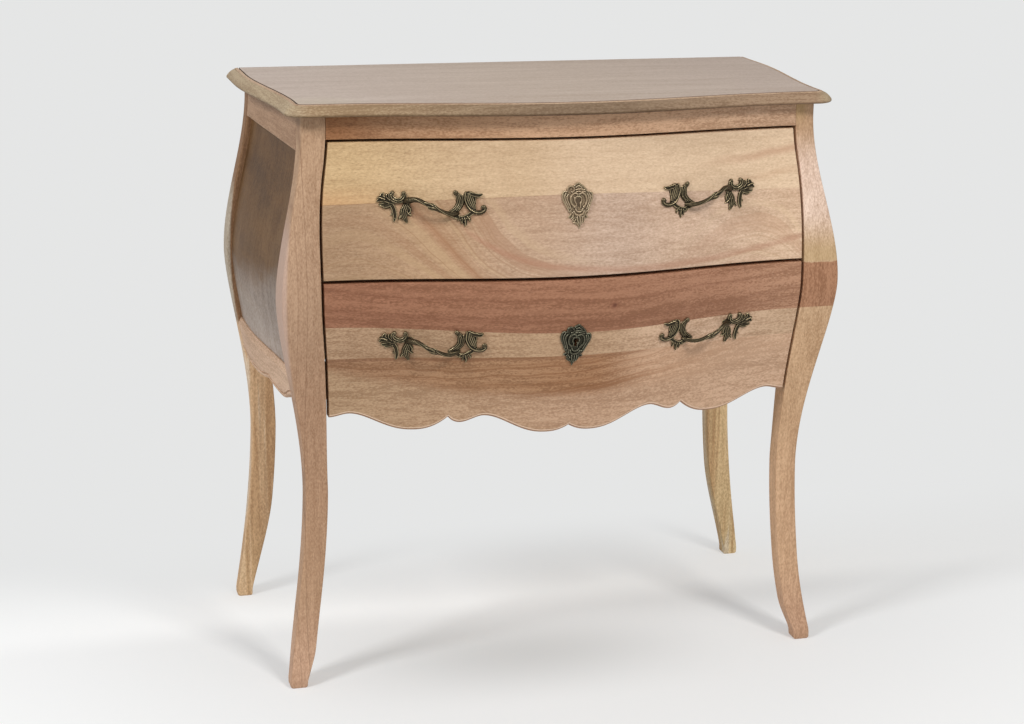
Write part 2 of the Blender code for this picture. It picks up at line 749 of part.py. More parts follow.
def runner_mesh(name, side, top):
    """An L-shaped bar under a drawer side, with a lip that guides it."""
    inner = BOX_HALF_WIDTH - RUNNER_WIDTH
    guide = BOX_HALF_WIDTH + GUIDE_CLEARANCE
    outer = guide + GUIDE_WIDTH
    bottom = top - RUNNER_THICKNESS
    outline = [
        (inner, bottom), (outer, bottom), (outer, top + GUIDE_HEIGHT),
        (guide, top + GUIDE_HEIGHT), (guide, top), (inner, top),
    ]
    outline = [(side * x, z) for x, z in outline]
    return prism_mesh(name, outline, -(CROSS_RAIL_BACK_DEPTH - JOINT_GAP), -(BACK_RAIL_FRONT + JOINT_GAP))


def kicker_mesh(name, side):
    """A bar above a drawer side that keeps the open drawer level."""
    outer = side * BOX_HALF_WIDTH
    inner = side * (BOX_HALF_WIDTH - RUNNER_WIDTH)
    bottom = UPPER_BOX_TOP + KICKER_CLEARANCE
    top = bottom + KICKER_HEIGHT
    rings = []
    for x in (inner, outer):
        reach = min(front_depth(x, z) for z in (TOP_RAIL_BOTTOM, top)) - TOP_RAIL_THICKNESS - CURVE_GAP
        rear = BACK_RAIL_FRONT + JOINT_GAP
        rings.append([(x, -reach, bottom), (x, -rear, bottom), (x, -rear, top), (x, -reach, top)])
    return loft_mesh(name, rings)


def make_runners(case, wood):
    for side_name, side in (("left", -1), ("right", 1)):
        for drawer, top in (("upper", UPPER_BOX_BOTTOM), ("lower", LOWER_BOX_BOTTOM)):
            name = f"{drawer}_{side_name}_runner"
            add_object(name, runner_mesh(name, side, top - JOINT_GAP), wood, case)
        name = f"{side_name}_kicker"
        add_object(name, kicker_mesh(name, side), wood, case)


def top_side_x(depth):
    run_back = 1.0 - depth / TOP_FRONT_DEPTH - TOP_WAVE_START_SHARE
    return TOP_HALF_WIDTH + TOP_SPREAD * ease(run_back / TOP_WAVE_LENGTH_SHARE)


def top_front_depth(x):
    return TOP_FRONT_DEPTH + TOP_BOW * bow_share(x)


def half_top_path():
    """Edge of the top board from the middle of its front to its right rear corner."""
    radius = TOP_CORNER_RADIUS
    front_end = TOP_HALF_WIDTH - radius
    side_start = top_front_depth(front_end) - radius
    path = [(x, -top_front_depth(x)) for x in levels(0.0, front_end, TOP_FRONT_POINTS)]
    for turn in levels(0.0, math.pi / 2, TOP_CORNER_POINTS)[1:-1]:
        x = front_end + radius * math.sin(turn)
        path.append((x, -(side_start + radius * math.cos(turn))))
    path.extend((top_side_x(depth), -depth) for depth in levels(side_start, 0.0, TOP_SIDE_POINTS))
    return path


def outward_normals(path):
    """Unit normals in plan, square to the back plane at the open end of the path."""
    normals = []
    for index, point in enumerate(path):
        before = path[max(index - 1, 0)]
        after = path[min(index + 1, len(path) - 1)]
        along = Vector((after[0] - before[0], after[1] - before[1])).normalized()
        normals.append(Vector((along.y, -along.x)))
    normals[0] = Vector((0.0, -1.0))
    normals[-1] = Vector((1.0, 0.0))
    return normals


def moulding_ring(point, normal, inset):
    ring = []
    for out_share, drop_share in MOULDING_SHARES:
        out = max(out_share * MOULDING_WIDTH, inset)
        x = point[0] + normal.x * out
        y = point[1] + normal.y * out
        ring.append((x, y, CASE_HEIGHT - drop_share * TOP_THICKNESS))
    return ring


def moved_along(point, toward, distance):
    step = (Vector(toward) - Vector(point)).normalized() * distance
    return (point[0] + step.x, point[1] + step.y)


def make_top(case, board, wood):
    half = half_top_path()
    normals = outward_normals(half)
    mitre = TOP_FRONT_POINTS + TOP_CORNER_POINTS // 2
    rings = [moulding_ring(point, normal, JOINT_GAP) for point, normal in zip(half, normals)]

    front_last = moved_along(half[mitre], half[mitre - 1], JOINT_GAP)
    side_first = moved_along(half[mitre], half[mitre + 1], JOINT_GAP)
    right_front = rings[:mitre] + [moulding_ring(front_last, normals[mitre], JOINT_GAP)]
    right_side = [moulding_ring(side_first, normals[mitre], JOINT_GAP)] + rings[mitre + 1:]

    left_front = [mirrored(ring, -1) for ring in reversed(right_front[1:])]
    add_object("top_moulding_front", loft_mesh("top_moulding_front", left_front + right_front), wood, case)
    for side_name, side in (("left", -1), ("right", 1)):
        name = f"top_moulding_{side_name}"
        add_object(name, loft_mesh(name, [mirrored(ring, side) for ring in right_side]), wood, case)

    whole = [(-x, y) for x, y in reversed(half[1:])] + half
    shrunk = []
    for (x, y), normal in zip(half, normals):
        y_inset = y - normal.y * TOP_PANEL_EDGE
        shrunk.append((x - normal.x * TOP_PANEL_EDGE, min(y_inset, 0.0)))
    shrunk = [(-x, y) for x, y in reversed(shrunk[1:])] + shrunk
    rings = [
        [(x, y, TOP_UNDERSIDE) for x, y in whole],
        [(x, y, CASE_HEIGHT - TOP_PANEL_EDGE) for x, y in whole],
        [(x, y, CASE_HEIGHT) for x, y in shrunk],
    ]
    add_object("top_panel", loft_mesh("top_panel", rings), board, case)


def box_side_mesh(name, side, bottom, top):
    """A drawer side, whose front end follows the back of the drawer front."""
    rings = []
    for x in (BOX_HALF_WIDTH - BOX_SIDE_THICKNESS, BOX_HALF_WIDTH):
        ring = [(side * x, -BOX_BACK_DEPTH, top), (side * x, -BOX_BACK_DEPTH, bottom)]
        for z in levels(bottom, top, BOX_ROWS):
            reach = front_depth(x, z) - DRAWER_FRONT_THICKNESS - CURVE_GAP
            ring.append((side * x, -reach, z))
        rings.append(ring)
    return loft_mesh(name, rings)


def box_bottom_mesh(name, bottom):
    half = BOX_HALF_WIDTH - BOX_SIDE_THICKNESS - JOINT_GAP
    top = bottom + BOX_BOTTOM_THICKNESS
    back = BOX_BACK_DEPTH + BOX_BACK_THICKNESS + JOINT_GAP
    rings = []
    for x in levels(-half, half, BOTTOM_COLUMNS):
        reach = min(front_depth(x, z) for z in (bottom, top)) - DRAWER_FRONT_THICKNESS - CURVE_GAP
        rings.append([(x, -back, bottom), (x, -reach, bottom), (x, -reach, top), (x, -back, top)])
    return loft_mesh(name, rings)


def front_frame(x, z):
    """Matrix of a seat on the drawer fronts: x along the wood, y into it, z up along it."""
    across = (front_depth(x + SLOPE_STEP, z) - front_depth(x - SLOPE_STEP, z)) / (2 * SLOPE_STEP)
    upward = (front_depth(x, z + SLOPE_STEP) - front_depth(x, z - SLOPE_STEP)) / (2 * SLOPE_STEP)
    x_axis = Vector((1.0, -across, 0.0)).normalized()
    y_axis = x_axis.cross(Vector((0.0, -upward, 1.0))).normalized() * -1.0
    z_axis = x_axis.cross(y_axis)
    frame = Matrix((x_axis, y_axis, z_axis)).transposed().to_4x4()
    frame.translation = Vector((x, -front_depth(x, z), z))
    return frame


def seat_rise(frame, outline):
    """How far the curved wood stands above the seat's plane under an outline, at least 0."""
    rise = 0.0
    outward = -frame.col[1].xyz
    for across, up in outline:
        point = frame @ Vector((across, 0.0, up))
        wood = Vector((point.x, -front_depth(point.x, point.z), point.z))
        rise = max(rise, (wood - point).dot(outward))
    return rise + JOINT_GAP


def plate_outline(shares, centre):
    return [
        (centre + across * PULL_PLATE_WIDTH, PULL_SCREW_RISE + up * PULL_PLATE_HEIGHT)
        for across, up in shares
    ]


def pull_plates():
    """Outlines of the two plates of a left-hand pull, outer and inner."""
    half = PULL_SCREW_SPACING / 2
    return plate_outline(OUTER_PLATE_SHARES, -half), plate_outline(INNER_PLATE_SHARES, half)


def grip_mesh():
    """The S-shaped grip: rings square to its path, thicker at the knot."""
    path = []
    for across, up, reach, _ in GRIP_SHARES:
        path.append(Vector((across * PULL_GRIP_WIDTH, -reach * PULL_GRIP_REACH, up * PULL_GRIP_RISE)))
    rings = []
    for index, centre in enumerate(path):
        along = (path[min(index + 1, len(path) - 1)] - path[max(index - 1, 0)]).normalized()
        side = along.cross(Vector((0.0, 1.0, 0.0))).normalized()
        over = side.cross(along)
        radius = PULL_GRIP_RADIUS * GRIP_SHARES[index][3]
        ring = []
        for step in range(PULL_GRIP_SIDES):
            turn = 2.0 * math.pi * step / PULL_GRIP_SIDES
            ring.append(centre + (side * math.cos(turn) + over * math.sin(turn)) * radius)
        rings.append(ring)
    return loft_mesh("grip", rings)


def pull_mesh():
    """One casting of a left-hand pull, lying on the plane y = 0 with its face to -y."""
    half = PULL_SCREW_SPACING / 2
    outer, inner = pull_plates()
    still = Matrix.Identity(4)
    face = -PULL_PLATE_THICKNESS
    joined = [(prism_mesh("inner_plate", inner, face, 0.0), still), (grip_mesh(), still)]
    cut = []
    for shares, centre in ((OUTER_OPENING_SHARES, -half), (INNER_OPENING_SHARES, half)):
        opening = plate_outline(shares, centre)
        cut.append((prism_mesh("opening", opening, face - CUT_OVERRUN, CUT_OVERRUN), still))
    hole_radius = SCREW_RADIUS + SCREW_CLEARANCE
    hole_depth = SCREW_ENGAGEMENT + JOINT_GAP
    for centre in (-half, half):
        place = (centre, PULL_SCREW_RISE)
        hub = cylinder_mesh("hub", PULL_HUB_RADIUS, -PULL_HUB_HEIGHT, -PULL_CASTING_SWELL, SCREW_SIDES, place)
        hole = cylinder_mesh("hole", hole_radius, -hole_depth, CUT_OVERRUN, SCREW_SIDES, place)
        joined.append((hub, still))
        cut.append((hole, still))
    return carved_mesh(prism_mesh("outer_plate", outer, face, 0.0), joined, cut)


def mirrored_mesh(mesh):
    copy = mesh.copy()
    copy.transform(Matrix.Scale(-1.0, 4, (1.0, 0.0, 0.0)))
    copy.flip_normals()
    return copy


def wood_along(frame, across, up):
    """Thickness of the drawer front along the seat's own y, at a place on the seat."""
    depth = 0.0
    inward = frame.col[1].xyz
    start = frame @ Vector((across, 0.0, up))
    for _ in range(WOOD_DEPTH_STEPS):
        point = start + inward * depth
        behind = DRAWER_FRONT_THICKNESS - front_depth(point.x, point.z) - point.y
        depth += behind * inward.y
    return depth


def screw_mesh(name, place, start, head_start):
    shank = cylinder_mesh(name, SCREW_RADIUS, start, head_start + CUT_OVERRUN, SCREW_SIDES, place)
    head_end = head_start + SCREW_HEAD_HEIGHT
    head = cylinder_mesh("head", SCREW_HEAD_RADIUS, head_start, head_end, SCREW_SIDES, place)
    return carved_mesh(shank, joined=((head, Matrix.Identity(4)),))


def keyhole_outline(radius, slot_width, slot_drop):
    """A round hole with a slot under it, centred on the round."""
    half = slot_width / 2
    slot_turn = math.asin(half / radius)
    outline = [(-half, -slot_drop), (half, -slot_drop)]
    for turn in levels(slot_turn, 2.0 * math.pi - slot_turn, KEYHOLE_SIDES):
        outline.append((radius * math.sin(turn), -radius * math.cos(turn)))
    return outline


def key_plate_outline():
    right = [(x * KEY_PLATE_HALF_WIDTH, z * KEY_PLATE_HEIGHT) for x, z in KEY_PLATE_SHARES]
    left = [(-x, z) for x, z in reversed(right)]
    top = [(0.0, KEY_PLATE_TOP_SHARE * KEY_PLATE_HEIGHT)]
    tail = [(0.0, KEY_PLATE_TAIL_SHARE * KEY_PLATE_HEIGHT)]
    return top + right + tail + left


def key_plate_mesh():
    plate = prism_mesh("key_plate", key_plate_outline(), -KEY_PLATE_THICKNESS, 0.0)
    hole = keyhole_outline(KEYHOLE_RADIUS, KEYHOLE_SLOT_WIDTH, KEYHOLE_SLOT_DROP)
    cutter = prism_mesh("keyhole", hole, -KEY_PLATE_THICKNESS - CUT_OVERRUN, CUT_OVERRUN)
    return carved_mesh(plate, cut=((cutter, Matrix.Identity(4)),))


def lock_front_depth():
    """Where the lock's face lies: just behind the drawer front where that is nearest."""
    nearest = min(front_depth(LOCK_WIDTH / 2, z) for z in (LOCK_BOTTOM, LOCK_TOP))
    return nearest - DRAWER_FRONT_THICKNESS - CURVE_GAP


def bolt_box(low_z, high_z, margin):
    middle = lock_front_depth() - LOCK_THICKNESS / 2
    half = BOLT_WIDTH / 2 + margin
    reach = BOLT_THICKNESS / 2 + margin
    return (-half, -middle - reach, low_z), (half, -middle + reach, high_z)


def bolt_mortise_mesh():
    """The hole in the underside of the divider rail that the thrown bolt enters."""
    depth = BOLT_TRAVEL + BOLT_HEADROOM
    low, high = bolt_box(DIVIDER_BOTTOM - CUT_OVERRUN, DIVIDER_BOTTOM + depth, 2 * BOLT_CLEARANCE)
    return box_mesh("mortise", low, high)


def make_lock(drawer, bolt_slide, steel):
    face = lock_front_depth()
    low = (-LOCK_WIDTH / 2, -face, LOCK_BOTTOM)
    high = (LOCK_WIDTH / 2, LOCK_THICKNESS - face, LOCK_TOP)
    bolt_bottom = LOCK_TOP - BOLT_ENGAGEMENT
    pocket = bolt_box(bolt_bottom - BOLT_CLEARANCE, LOCK_TOP + CUT_OVERRUN, BOLT_CLEARANCE)
    hole = keyhole_outline(KEYHOLE_RADIUS, KEYHOLE_SLOT_WIDTH, KEYHOLE_SLOT_DROP)
    hole = [(x, z + LOWER_KEYHOLE_HEIGHT) for x, z in hole]
    key_pocket = prism_mesh("key_pocket", hole, -face - CUT_OVERRUN, LOCK_KEY_POCKET - face)
    still = Matrix.Identity(4)
    case = carved_mesh(
        box_mesh("lock_case", low, high), cut=((box_mesh("pocket", *pocket), still), (key_pocket, still)))
    add_object("lock_case", case, steel, drawer)
    bolt_top = DIVIDER_BOTTOM - BOLT_HEADROOM
    add_object("lock_bolt", box_mesh("lock_bolt", *bolt_box(bolt_bottom, bolt_top, 0.0)), steel, bolt_slide)


def make_drawer(name, drawer, columns, bottom_edge, heights, turn, key_bore, finishes):
    """One drawer: bombe front, box, two pulls, their screws and a keyhole plate."""
    top, box_bottom, box_top, pull_height, key_height = heights
    wood, inner_wood, plywood, brass, steel = finishes
    rings = front_board_rings(
        columns, bottom_edge, top, None, DRAWER_SIDE_GAP, 0.0,
        DRAWER_FRONT_THICKNESS, DRAWER_FRONT_EDGE)
    cutters = []

    left_pull = pull_mesh()
    outlines = pull_plates()
    for side_name, side in (("left", -1), ("right", 1)):
        frame = front_frame(side * PULL_PLACE, pull_height)
        outline = [(-side * x, z) for plate in outlines for x, z in plate]
        seat = seat_rise(frame, outline)
        mesh = left_pull if side < 0 else mirrored_mesh(left_pull)
        pull_name = f"{name}_{side_name}_pull"
        pull = frame @ Matrix.Translation((0.0, -seat, 0.0))
        add_object(pull_name, mesh, brass, drawer, pull)
        for screw_name, centre in (("outer", side), ("inner", -side)):
            across = centre * PULL_SCREW_SPACING / 2
            place = (across, PULL_SCREW_RISE)
            back = wood_along(frame, across, PULL_SCREW_RISE)
            mesh = screw_mesh(
                "screw", place, -(seat + SCREW_ENGAGEMENT), back + 2 * JOINT_GAP)
            add_object(f"{pull_name}_{screw_name}_screw", mesh, steel, drawer, frame)
            hole = cylinder_mesh(
                "hole", SCREW_RADIUS + SCREW_CLEARANCE, -CUT_OVERRUN, back + CUT_OVERRUN, SCREW_SIDES, place)
            cutters.append((hole, frame))

    frame = front_frame(0.0, key_height) @ Matrix.Rotation(turn, 4, "Y")
    seat = seat_rise(frame, key_plate_outline())
    add_object(
        f"{name}_key_plate", key_plate_mesh(), brass, drawer, frame @ Matrix.Translation((0.0, -seat, 0.0)))
    if key_bore:
        margin = KEYHOLE_BORE_MARGIN
        outline = keyhole_outline(
            KEYHOLE_RADIUS + margin, KEYHOLE_SLOT_WIDTH + 2 * margin, KEYHOLE_SLOT_DROP + margin)
        outline = [(x, z + key_height) for x, z in outline]
        face = front_depth(0.0, key_height)
        back = face - DRAWER_FRONT_THICKNESS
        bore = prism_mesh("key_bore", outline, -(face + BOW_DEPTH), -(back - BOW_DEPTH))
        cutters.append((bore, Matrix.Identity(4)))

    front = loft_mesh(f"{name}_front", rings, len(rings[0]) - DRAWER_FRONT_ROWS - 1)
    front = carved_mesh(front, cut=cutters)
    add_object(f"{name}_front", front, wood, drawer)
    for side_name, side in (("left", -1), ("right", 1)):
        board_name = f"{name}_{side_name}_side"
        add_object(board_name, box_side_mesh(board_name, side, box_bottom, box_top), inner_wood, drawer)
    half = BOX_HALF_WIDTH - BOX_SIDE_THICKNESS - JOINT_GAP
    low = (-half, -(BOX_BACK_DEPTH + BOX_BACK_THICKNESS), box_bottom)
    high = (half, -BOX_BACK_DEPTH, box_top)
    add_object(f"{name}_back", box_mesh(f"{name}_back", low, high), inner_wood, drawer)
    add_object(f"{name}_bottom", box_bottom_mesh(f"{name}_bottom", box_bottom), plywood, drawer)


def make_chest():
    clear_scene()
    frame_wood = make_material("frame_wood", FRAME_WOOD, 0.62)
    drawer_wood = make_material("drawer_wood", DRAWER_WOOD, 0.60)
    top_wood = make_material("top_wood", TOP_WOOD, 0.58)
    moulding_wood = make_material("moulding_wood", MOULDING_WOOD, 0.60)
    panel_board = make_material("panel_board", PANEL_BOARD, 0.50)
    inner_wood = make_material("inner_wood", INNER_WOOD, 0.70)
    plywood = make_material("plywood", PLYWOOD, 0.72)
    brass = make_material("aged_brass", AGED_BRASS, 0.42, 1.0)
    steel = make_material("lock_steel", LOCK_STEEL, 0.38, 1.0)

    reach = front_depth(0.0, BULGE_HEIGHT)
    case = make_empty("case", location=(0.0, reach / 2, 0.0))
    upper = make_empty("upper_drawer", case)
    lower = make_empty("lower_drawer", case)
    bolt_slide = make_empty("bolt_slide", lower)

    make_posts(case, frame_wood)
    make_sides(case, frame_wood, panel_board)
    make_front_rails(case, frame_wood, inner_wood)
    make_back(case, inner_wood, plywood)
    make_runners(case, inner_wood)
    make_top(case, top_wood, moulding_wood)

    finishes = (drawer_wood, inner_wood, plywood, brass, steel)
    heights = (UPPER_FRONT_TOP, UPPER_BOX_BOTTOM, UPPER_BOX_TOP, UPPER_PULL_HEIGHT, UPPER_KEYHOLE_HEIGHT)
    make_drawer(
        "upper_drawer", upper, levels(-1.0, 1.0, UPPER_FRONT_COLUMNS), lambda share: UPPER_FRONT_BOTTOM,
        heights, 0.0, False, finishes)
    heights = (LOWER_FRONT_TOP, LOWER_BOX_BOTTOM, LOWER_BOX_TOP, LOWER_PULL_HEIGHT, LOWER_KEYHOLE_HEIGHT)
    make_drawer(
        "lower_drawer", lower, apron_columns(), apron_edge, heights, LOWER_KEY_PLATE_TURN, True, finishes)
    make_lock(lower, bolt_slide, steel)


make_chest()
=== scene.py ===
"""The looks of a bombe chest of drawers in raw wood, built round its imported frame.

Everything is in metres in the row frame: x across the chest, y towards its back, z up from
the floor. A depth is measured forward from the back plane. New meshes hold their own places,
so that one grain runs through boards that were cut from one plank.
"""
import math

import bmesh
import bpy
from mathutils import Matrix, Vector


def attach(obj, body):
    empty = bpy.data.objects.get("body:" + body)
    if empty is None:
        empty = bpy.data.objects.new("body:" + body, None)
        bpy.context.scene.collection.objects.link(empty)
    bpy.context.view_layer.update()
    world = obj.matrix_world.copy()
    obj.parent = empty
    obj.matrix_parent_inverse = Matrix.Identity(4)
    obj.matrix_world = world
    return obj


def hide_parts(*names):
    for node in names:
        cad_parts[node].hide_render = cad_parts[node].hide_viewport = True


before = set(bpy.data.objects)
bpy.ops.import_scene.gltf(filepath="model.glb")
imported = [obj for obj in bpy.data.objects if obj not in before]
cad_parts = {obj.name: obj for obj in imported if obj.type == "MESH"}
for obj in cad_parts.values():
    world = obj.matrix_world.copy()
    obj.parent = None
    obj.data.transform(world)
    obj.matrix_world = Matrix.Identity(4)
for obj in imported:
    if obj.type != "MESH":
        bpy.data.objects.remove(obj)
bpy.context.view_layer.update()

MM = 0.001
SIDES = (("left", -1), ("right", 1))

# Sizes of the case, as in the part
KNEE_HALF_WIDTH = 0.398
KNEE_DEPTH = 0.400
SIDE_BULGE = 0.038
FRONT_BULGE = 0.0405
BULGE_HEIGHT = 0.605
BULGE_RISE = 0.260
BULGE_FALL = 0.305
BULGE_FALL_POWER = 0.82
SWELL_RISE = 0.195
SWELL_FALL = 0.285
# The outward turn of the feet: its size, the height of the toe, its run over that, its power
SIDE_KICK = (0.0306, 0.012, 0.300, 1.7)
FRONT_KICK = (0.021, 0.018, 0.120, 2.0)
REAR_SPREAD = 0.0261
REAR_SPREAD_AT_TOP = 0.0245
SPREAD_START_SHARE = 0.03
SPREAD_RUN_SHARE = 0.77
BOW_HALF_WIDTH = 0.380
BOW_DEPTH = 0.0395
BOW_DEPTH_GAIN = 0.0065
FRAME_TOP = 0.8822
TOP_HEIGHT = 0.900

# Sizes of the posts: the plain size, its gain at the bulge, the foot's size and its taper
FRONT_POST_WIDTH = (0.034, 0.0245, 0.026, 0.060)
FRONT_POST_DEPTH = (0.030, 0.024, 0.026, 0.060)
REAR_POST_WIDTH = (0.039, 0.004, 0.025, 0.180)
REAR_POST_DEPTH = (0.028, 0.010, 0.025, 0.060)
# Radii of their edges: inner front, outer front, outer back, inner back
FRONT_POST_ROUNDS = (0.0016, 0.0042, 0.0016, 0.002)
REAR_POST_ROUNDS = (0.002, 0.0045, 0.003, 0.002)
POST_TURN = 0.010
POST_TURN_MIDDLE_SHARE = 0.65

# Sizes of the boards
TOP_RAIL_BOTTOM = 0.8475
RAIL_THICKNESS = 0.022
UPPER_FRONT = (0.645, 0.8435)
LOWER_FRONT = (0.4285, 0.640)
FRONT_THICKNESS = 0.022
# Radii of their rounded edges: the lower one, then the upper one and the ends
RAIL_ROUNDS = (0.0012, 0.0004)
UPPER_FRONT_ROUNDS = (0.0016, 0.0016)
LOWER_FRONT_ROUNDS = (0.006, 0.0016)
SIDE_GAP = 0.004
SIDE_RAIL_BOTTOM = 0.442
SIDE_RAIL_TOP = 0.495
SIDE_TOP_RAIL_BOTTOM = FRAME_TOP - 0.056
PANEL_RECESS = 0.009
PANEL_THICKNESS = 0.006
JOINT_GAP = 0.0003
APRON_DEPTH = 0.0345
SCALLOP_DEPTH = 0.0085
CUSP_POWER = 2.3
PEAK_POWER = 1.2
APRON_SHARES = (
    (0.0, -0.716, "cusp"), (0.097, -1.0, "low"), (0.364, -0.10, "peak"), (0.463, -0.406, "low"),
    (0.513, -0.13, "cusp"), (0.654, -0.725, "low"), (0.923, 0.136, "peak"), (1.0, 0.0, "end"),
)
SCALLOP_SHARES = (
    (0.0, 0.0, "end"), (0.31, -0.95, "low"), (0.58, 0.25, "cusp"), (0.79, -0.9, "low"), (1.0, 1.6, "end"),
)

# How finely the meshes are divided
POST_ROWS = 110
SIDE_COLUMNS = 72
PANEL_ROWS = 70
FRONT_COLUMNS = 130
DRAWER_ROWS = 44
RAIL_ROWS = 10
APRON_STEP_SHARE = 0.011
FEWEST_APRON_STEPS = 6
TOP_STEPS = 70
CORNER_STEPS = 12
KEYHOLE_STEPS = 20
SCREW_SIDES = 24
TUBE_SIDES = 12
RIDGE_SIDES = 8

# Sizes of the top, and the places of the hardware
TOP_HALF_WIDTH = 0.4028
TOP_SPREAD = 0.0275
TOP_SPREAD_START_SHARE = 0.06
TOP_SPREAD_RUN_SHARE = 0.74
TOP_FRONT_DEPTH = 0.410
TOP_BOW = 0.0425
TOP_CORNER_RADIUS = 0.010
PULL_PLACE = 0.214
PULL_HEIGHTS = {"upper": 0.75125, "lower": 0.54575}
KEY_HEIGHTS = {"upper": 0.75525, "lower": 0.54625}
KEY_PLACES = {"upper": 0.0018, "lower": -0.0014}
KEY_TURNS = {"upper": 0.0, "lower": math.radians(5.0)}
SCREW_PLACE = (0.048, 0.006)
# Keyholes: the radius of the round end, the width of the slot, and its lower end
WOOD_KEYHOLE = (0.0048, 0.0056, 0.0105)
BRASS_KEYHOLE = (0.0038, 0.0036, 0.0095)


def ease(share):
    held = min(max(share, 0.0), 1.0)
    return held * held * (3.0 - 2.0 * held)


def bulge_share(z):
    if z > BULGE_HEIGHT:
        return 1.0 - ease((z - BULGE_HEIGHT) / BULGE_RISE)
    fallen = min((BULGE_HEIGHT - z) / BULGE_FALL, 1.0)
    return 1.0 - ease(fallen ** BULGE_FALL_POWER)


def swell_share(z):
    return 1.0 - ease(abs(z - BULGE_HEIGHT) / (SWELL_RISE if z > BULGE_HEIGHT else SWELL_FALL))


def kick(z, size, toe, run, power):
    return size * max(1.0 - max(z - toe, 0.0) / run, 0.0) ** power


def corner_half_width(z):
    return KNEE_HALF_WIDTH + SIDE_BULGE * bulge_share(z) + kick(z, *SIDE_KICK)


def corner_depth(z):
    return KNEE_DEPTH + FRONT_BULGE * bulge_share(z) + kick(z, *FRONT_KICK)


def post_turn(z):
    return POST_TURN * (1.0 - bulge_share(z)) if z > BULGE_HEIGHT else 0.0


def post_size(z, plain, gain, foot, taper):
    return plain + gain * swell_share(z) - (plain - foot) * (1.0 - ease(z / taper))


def post_inner(z):
    return corner_half_width(z) - post_size(z, *FRONT_POST_WIDTH)


def post_back_depth(z):
    return corner_depth(z) - post_size(z, *FRONT_POST_DEPTH)


def side_half_width(depth, z):
    straight = ease((z - BULGE_HEIGHT) / BULGE_RISE)
    spread = REAR_SPREAD + (REAR_SPREAD_AT_TOP - REAR_SPREAD) * straight
    run_back = 1.0 - depth / corner_depth(z)
    waved = ease((run_back - SPREAD_START_SHARE) / SPREAD_RUN_SHARE)
    return corner_half_width(z) + spread * (waved + (run_back - waved) * straight)


def bow_share(x):
    return 0.5 + 0.5 * math.cos(math.pi * min(abs(x) / BOW_HALF_WIDTH, 1.0))


def front_depth(x, z):
    bow = BOW_DEPTH + BOW_DEPTH_GAIN * bulge_share(z)
    return corner_depth(z) + post_turn(z) + bow * bow_share(x)


BACK_Y = front_depth(0.0, BULGE_HEIGHT) / 2


def at(x, depth, z):
    return (x, BACK_Y - depth, z)


def wave(table, place):
    """Height of a scalloped edge, between the (place, height, kind) points of a table."""
    for (start, start_height, start_kind), (end, end_height, end_kind) in zip(table, table[1:]):
        if place > end:
            continue
        run = (place - start) / (end - start)
        if end_kind == "cusp":
            return start_height + (end_height - start_height) * run ** CUSP_POWER
        if start_kind == "cusp":
            return end_height + (start_height - end_height) * (1.0 - run) ** CUSP_POWER
        if end_kind == "peak":
            run = run ** PEAK_POWER
        return start_height + (end_height - start_height) * ease(run)
    return table[-1][1]


def apron_edge(share):
    return LOWER_FRONT[0] + APRON_DEPTH * wave(APRON_SHARES, min(abs(share), 1.0))


def levels(start, end, count):
    return [start + (end - start) * index / count for index in range(count + 1)]


def circle(count):
    return [(math.cos(turn), math.sin(turn)) for turn in levels(0.0, 2 * math.pi, count)[:-1]]


def mirrored(ring, side):
    return [(side * x, y, z) for x, y, z in ring]


# Meshes

def linked(name, data):
    """A new object, in the scene."""
    made = bpy.data.objects.new(name, data)
    bpy.context.scene.collection.objects.link(made)
    return made


# What a name ends in and which edges are sharp, in degrees, for pieces that aren't wood
KINDS = {"aged_brass": ("casting", 80.0), "lock_steel": ("steel", 40.0)}


def add_piece(node, mesh, body, paint, slot):
    """Puts a mesh in the scene on its body, standing for its CAD node."""
    kind, sharp = KINDS.get(slot, ("wood", 40.0))
    piece = linked(f"{node}_{kind}", mesh)
    mesh.materials.append(paints[paint])
    mesh.shade_smooth()
    mesh.set_sharp_from_angle(angle=math.radians(sharp))
    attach(piece, body)
    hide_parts(node)


def skin(work, rings):
    """Faces between closed rings of vertices."""
    for ring, following in zip(rings, rings[1:]):
        for here in range(len(ring)):
            beside = (here + 1) % len(ring)
            work.faces.new((ring[here], ring[beside], following[beside], following[here]))


def finished(work):
    """The mesh of closed bodies, their faces turned outward."""
    bmesh.ops.recalc_face_normals(work, faces=work.faces)
    mesh = bpy.data.meshes.new("mesh")
    work.to_mesh(mesh)
    work.free()
    return mesh


def loft(rings):
    """A closed solid through closed rings; each end is filled from one side to the other."""
    work = bmesh.new()
    rows = [[work.verts.new(point) for point in ring] for ring in rings]
    skin(work, rows)
    for row in (rows[0], rows[-1]):
        low, high = 0, len(row) - 1
        while high - low > 2:
            work.faces.new((row[low], row[low + 1], row[high - 1], row[high]))
            low += 1
            high -= 1
        if high - low == 2:
            work.faces.new((row[low], row[low + 1], row[high]))
    return finished(work)


def eased_ring(corners, steps=5):
    """A ring in plan whose corners are rounded: each is (x, y, radius)."""
    ring = []
    for index, (x, y, radius) in enumerate(corners):
        here = Vector((x, y))
        if radius == 0.0:
            ring.append(here)
            continue
        before = Vector(corners[index - 1][:2])
        after = Vector(corners[(index + 1) % len(corners)][:2])
        start = here + (before - here).normalized() * radius
        end = here + (after - here).normalized() * radius
        for share in levels(0.0, 1.0, steps):
            ring.append(start * (1.0 - share) ** 2 + here * 2.0 * share * (1.0 - share) + end * share ** 2)
    return ring


def arc(radius, steps=5):
    """Offsets of a quarter round: along the face from its edge, and back from the face."""
    turns = levels(0.0, math.pi / 2, steps)
    return [(radius * (1.0 - math.cos(turn)), radius * (1.0 - math.sin(turn))) for turn in turns]


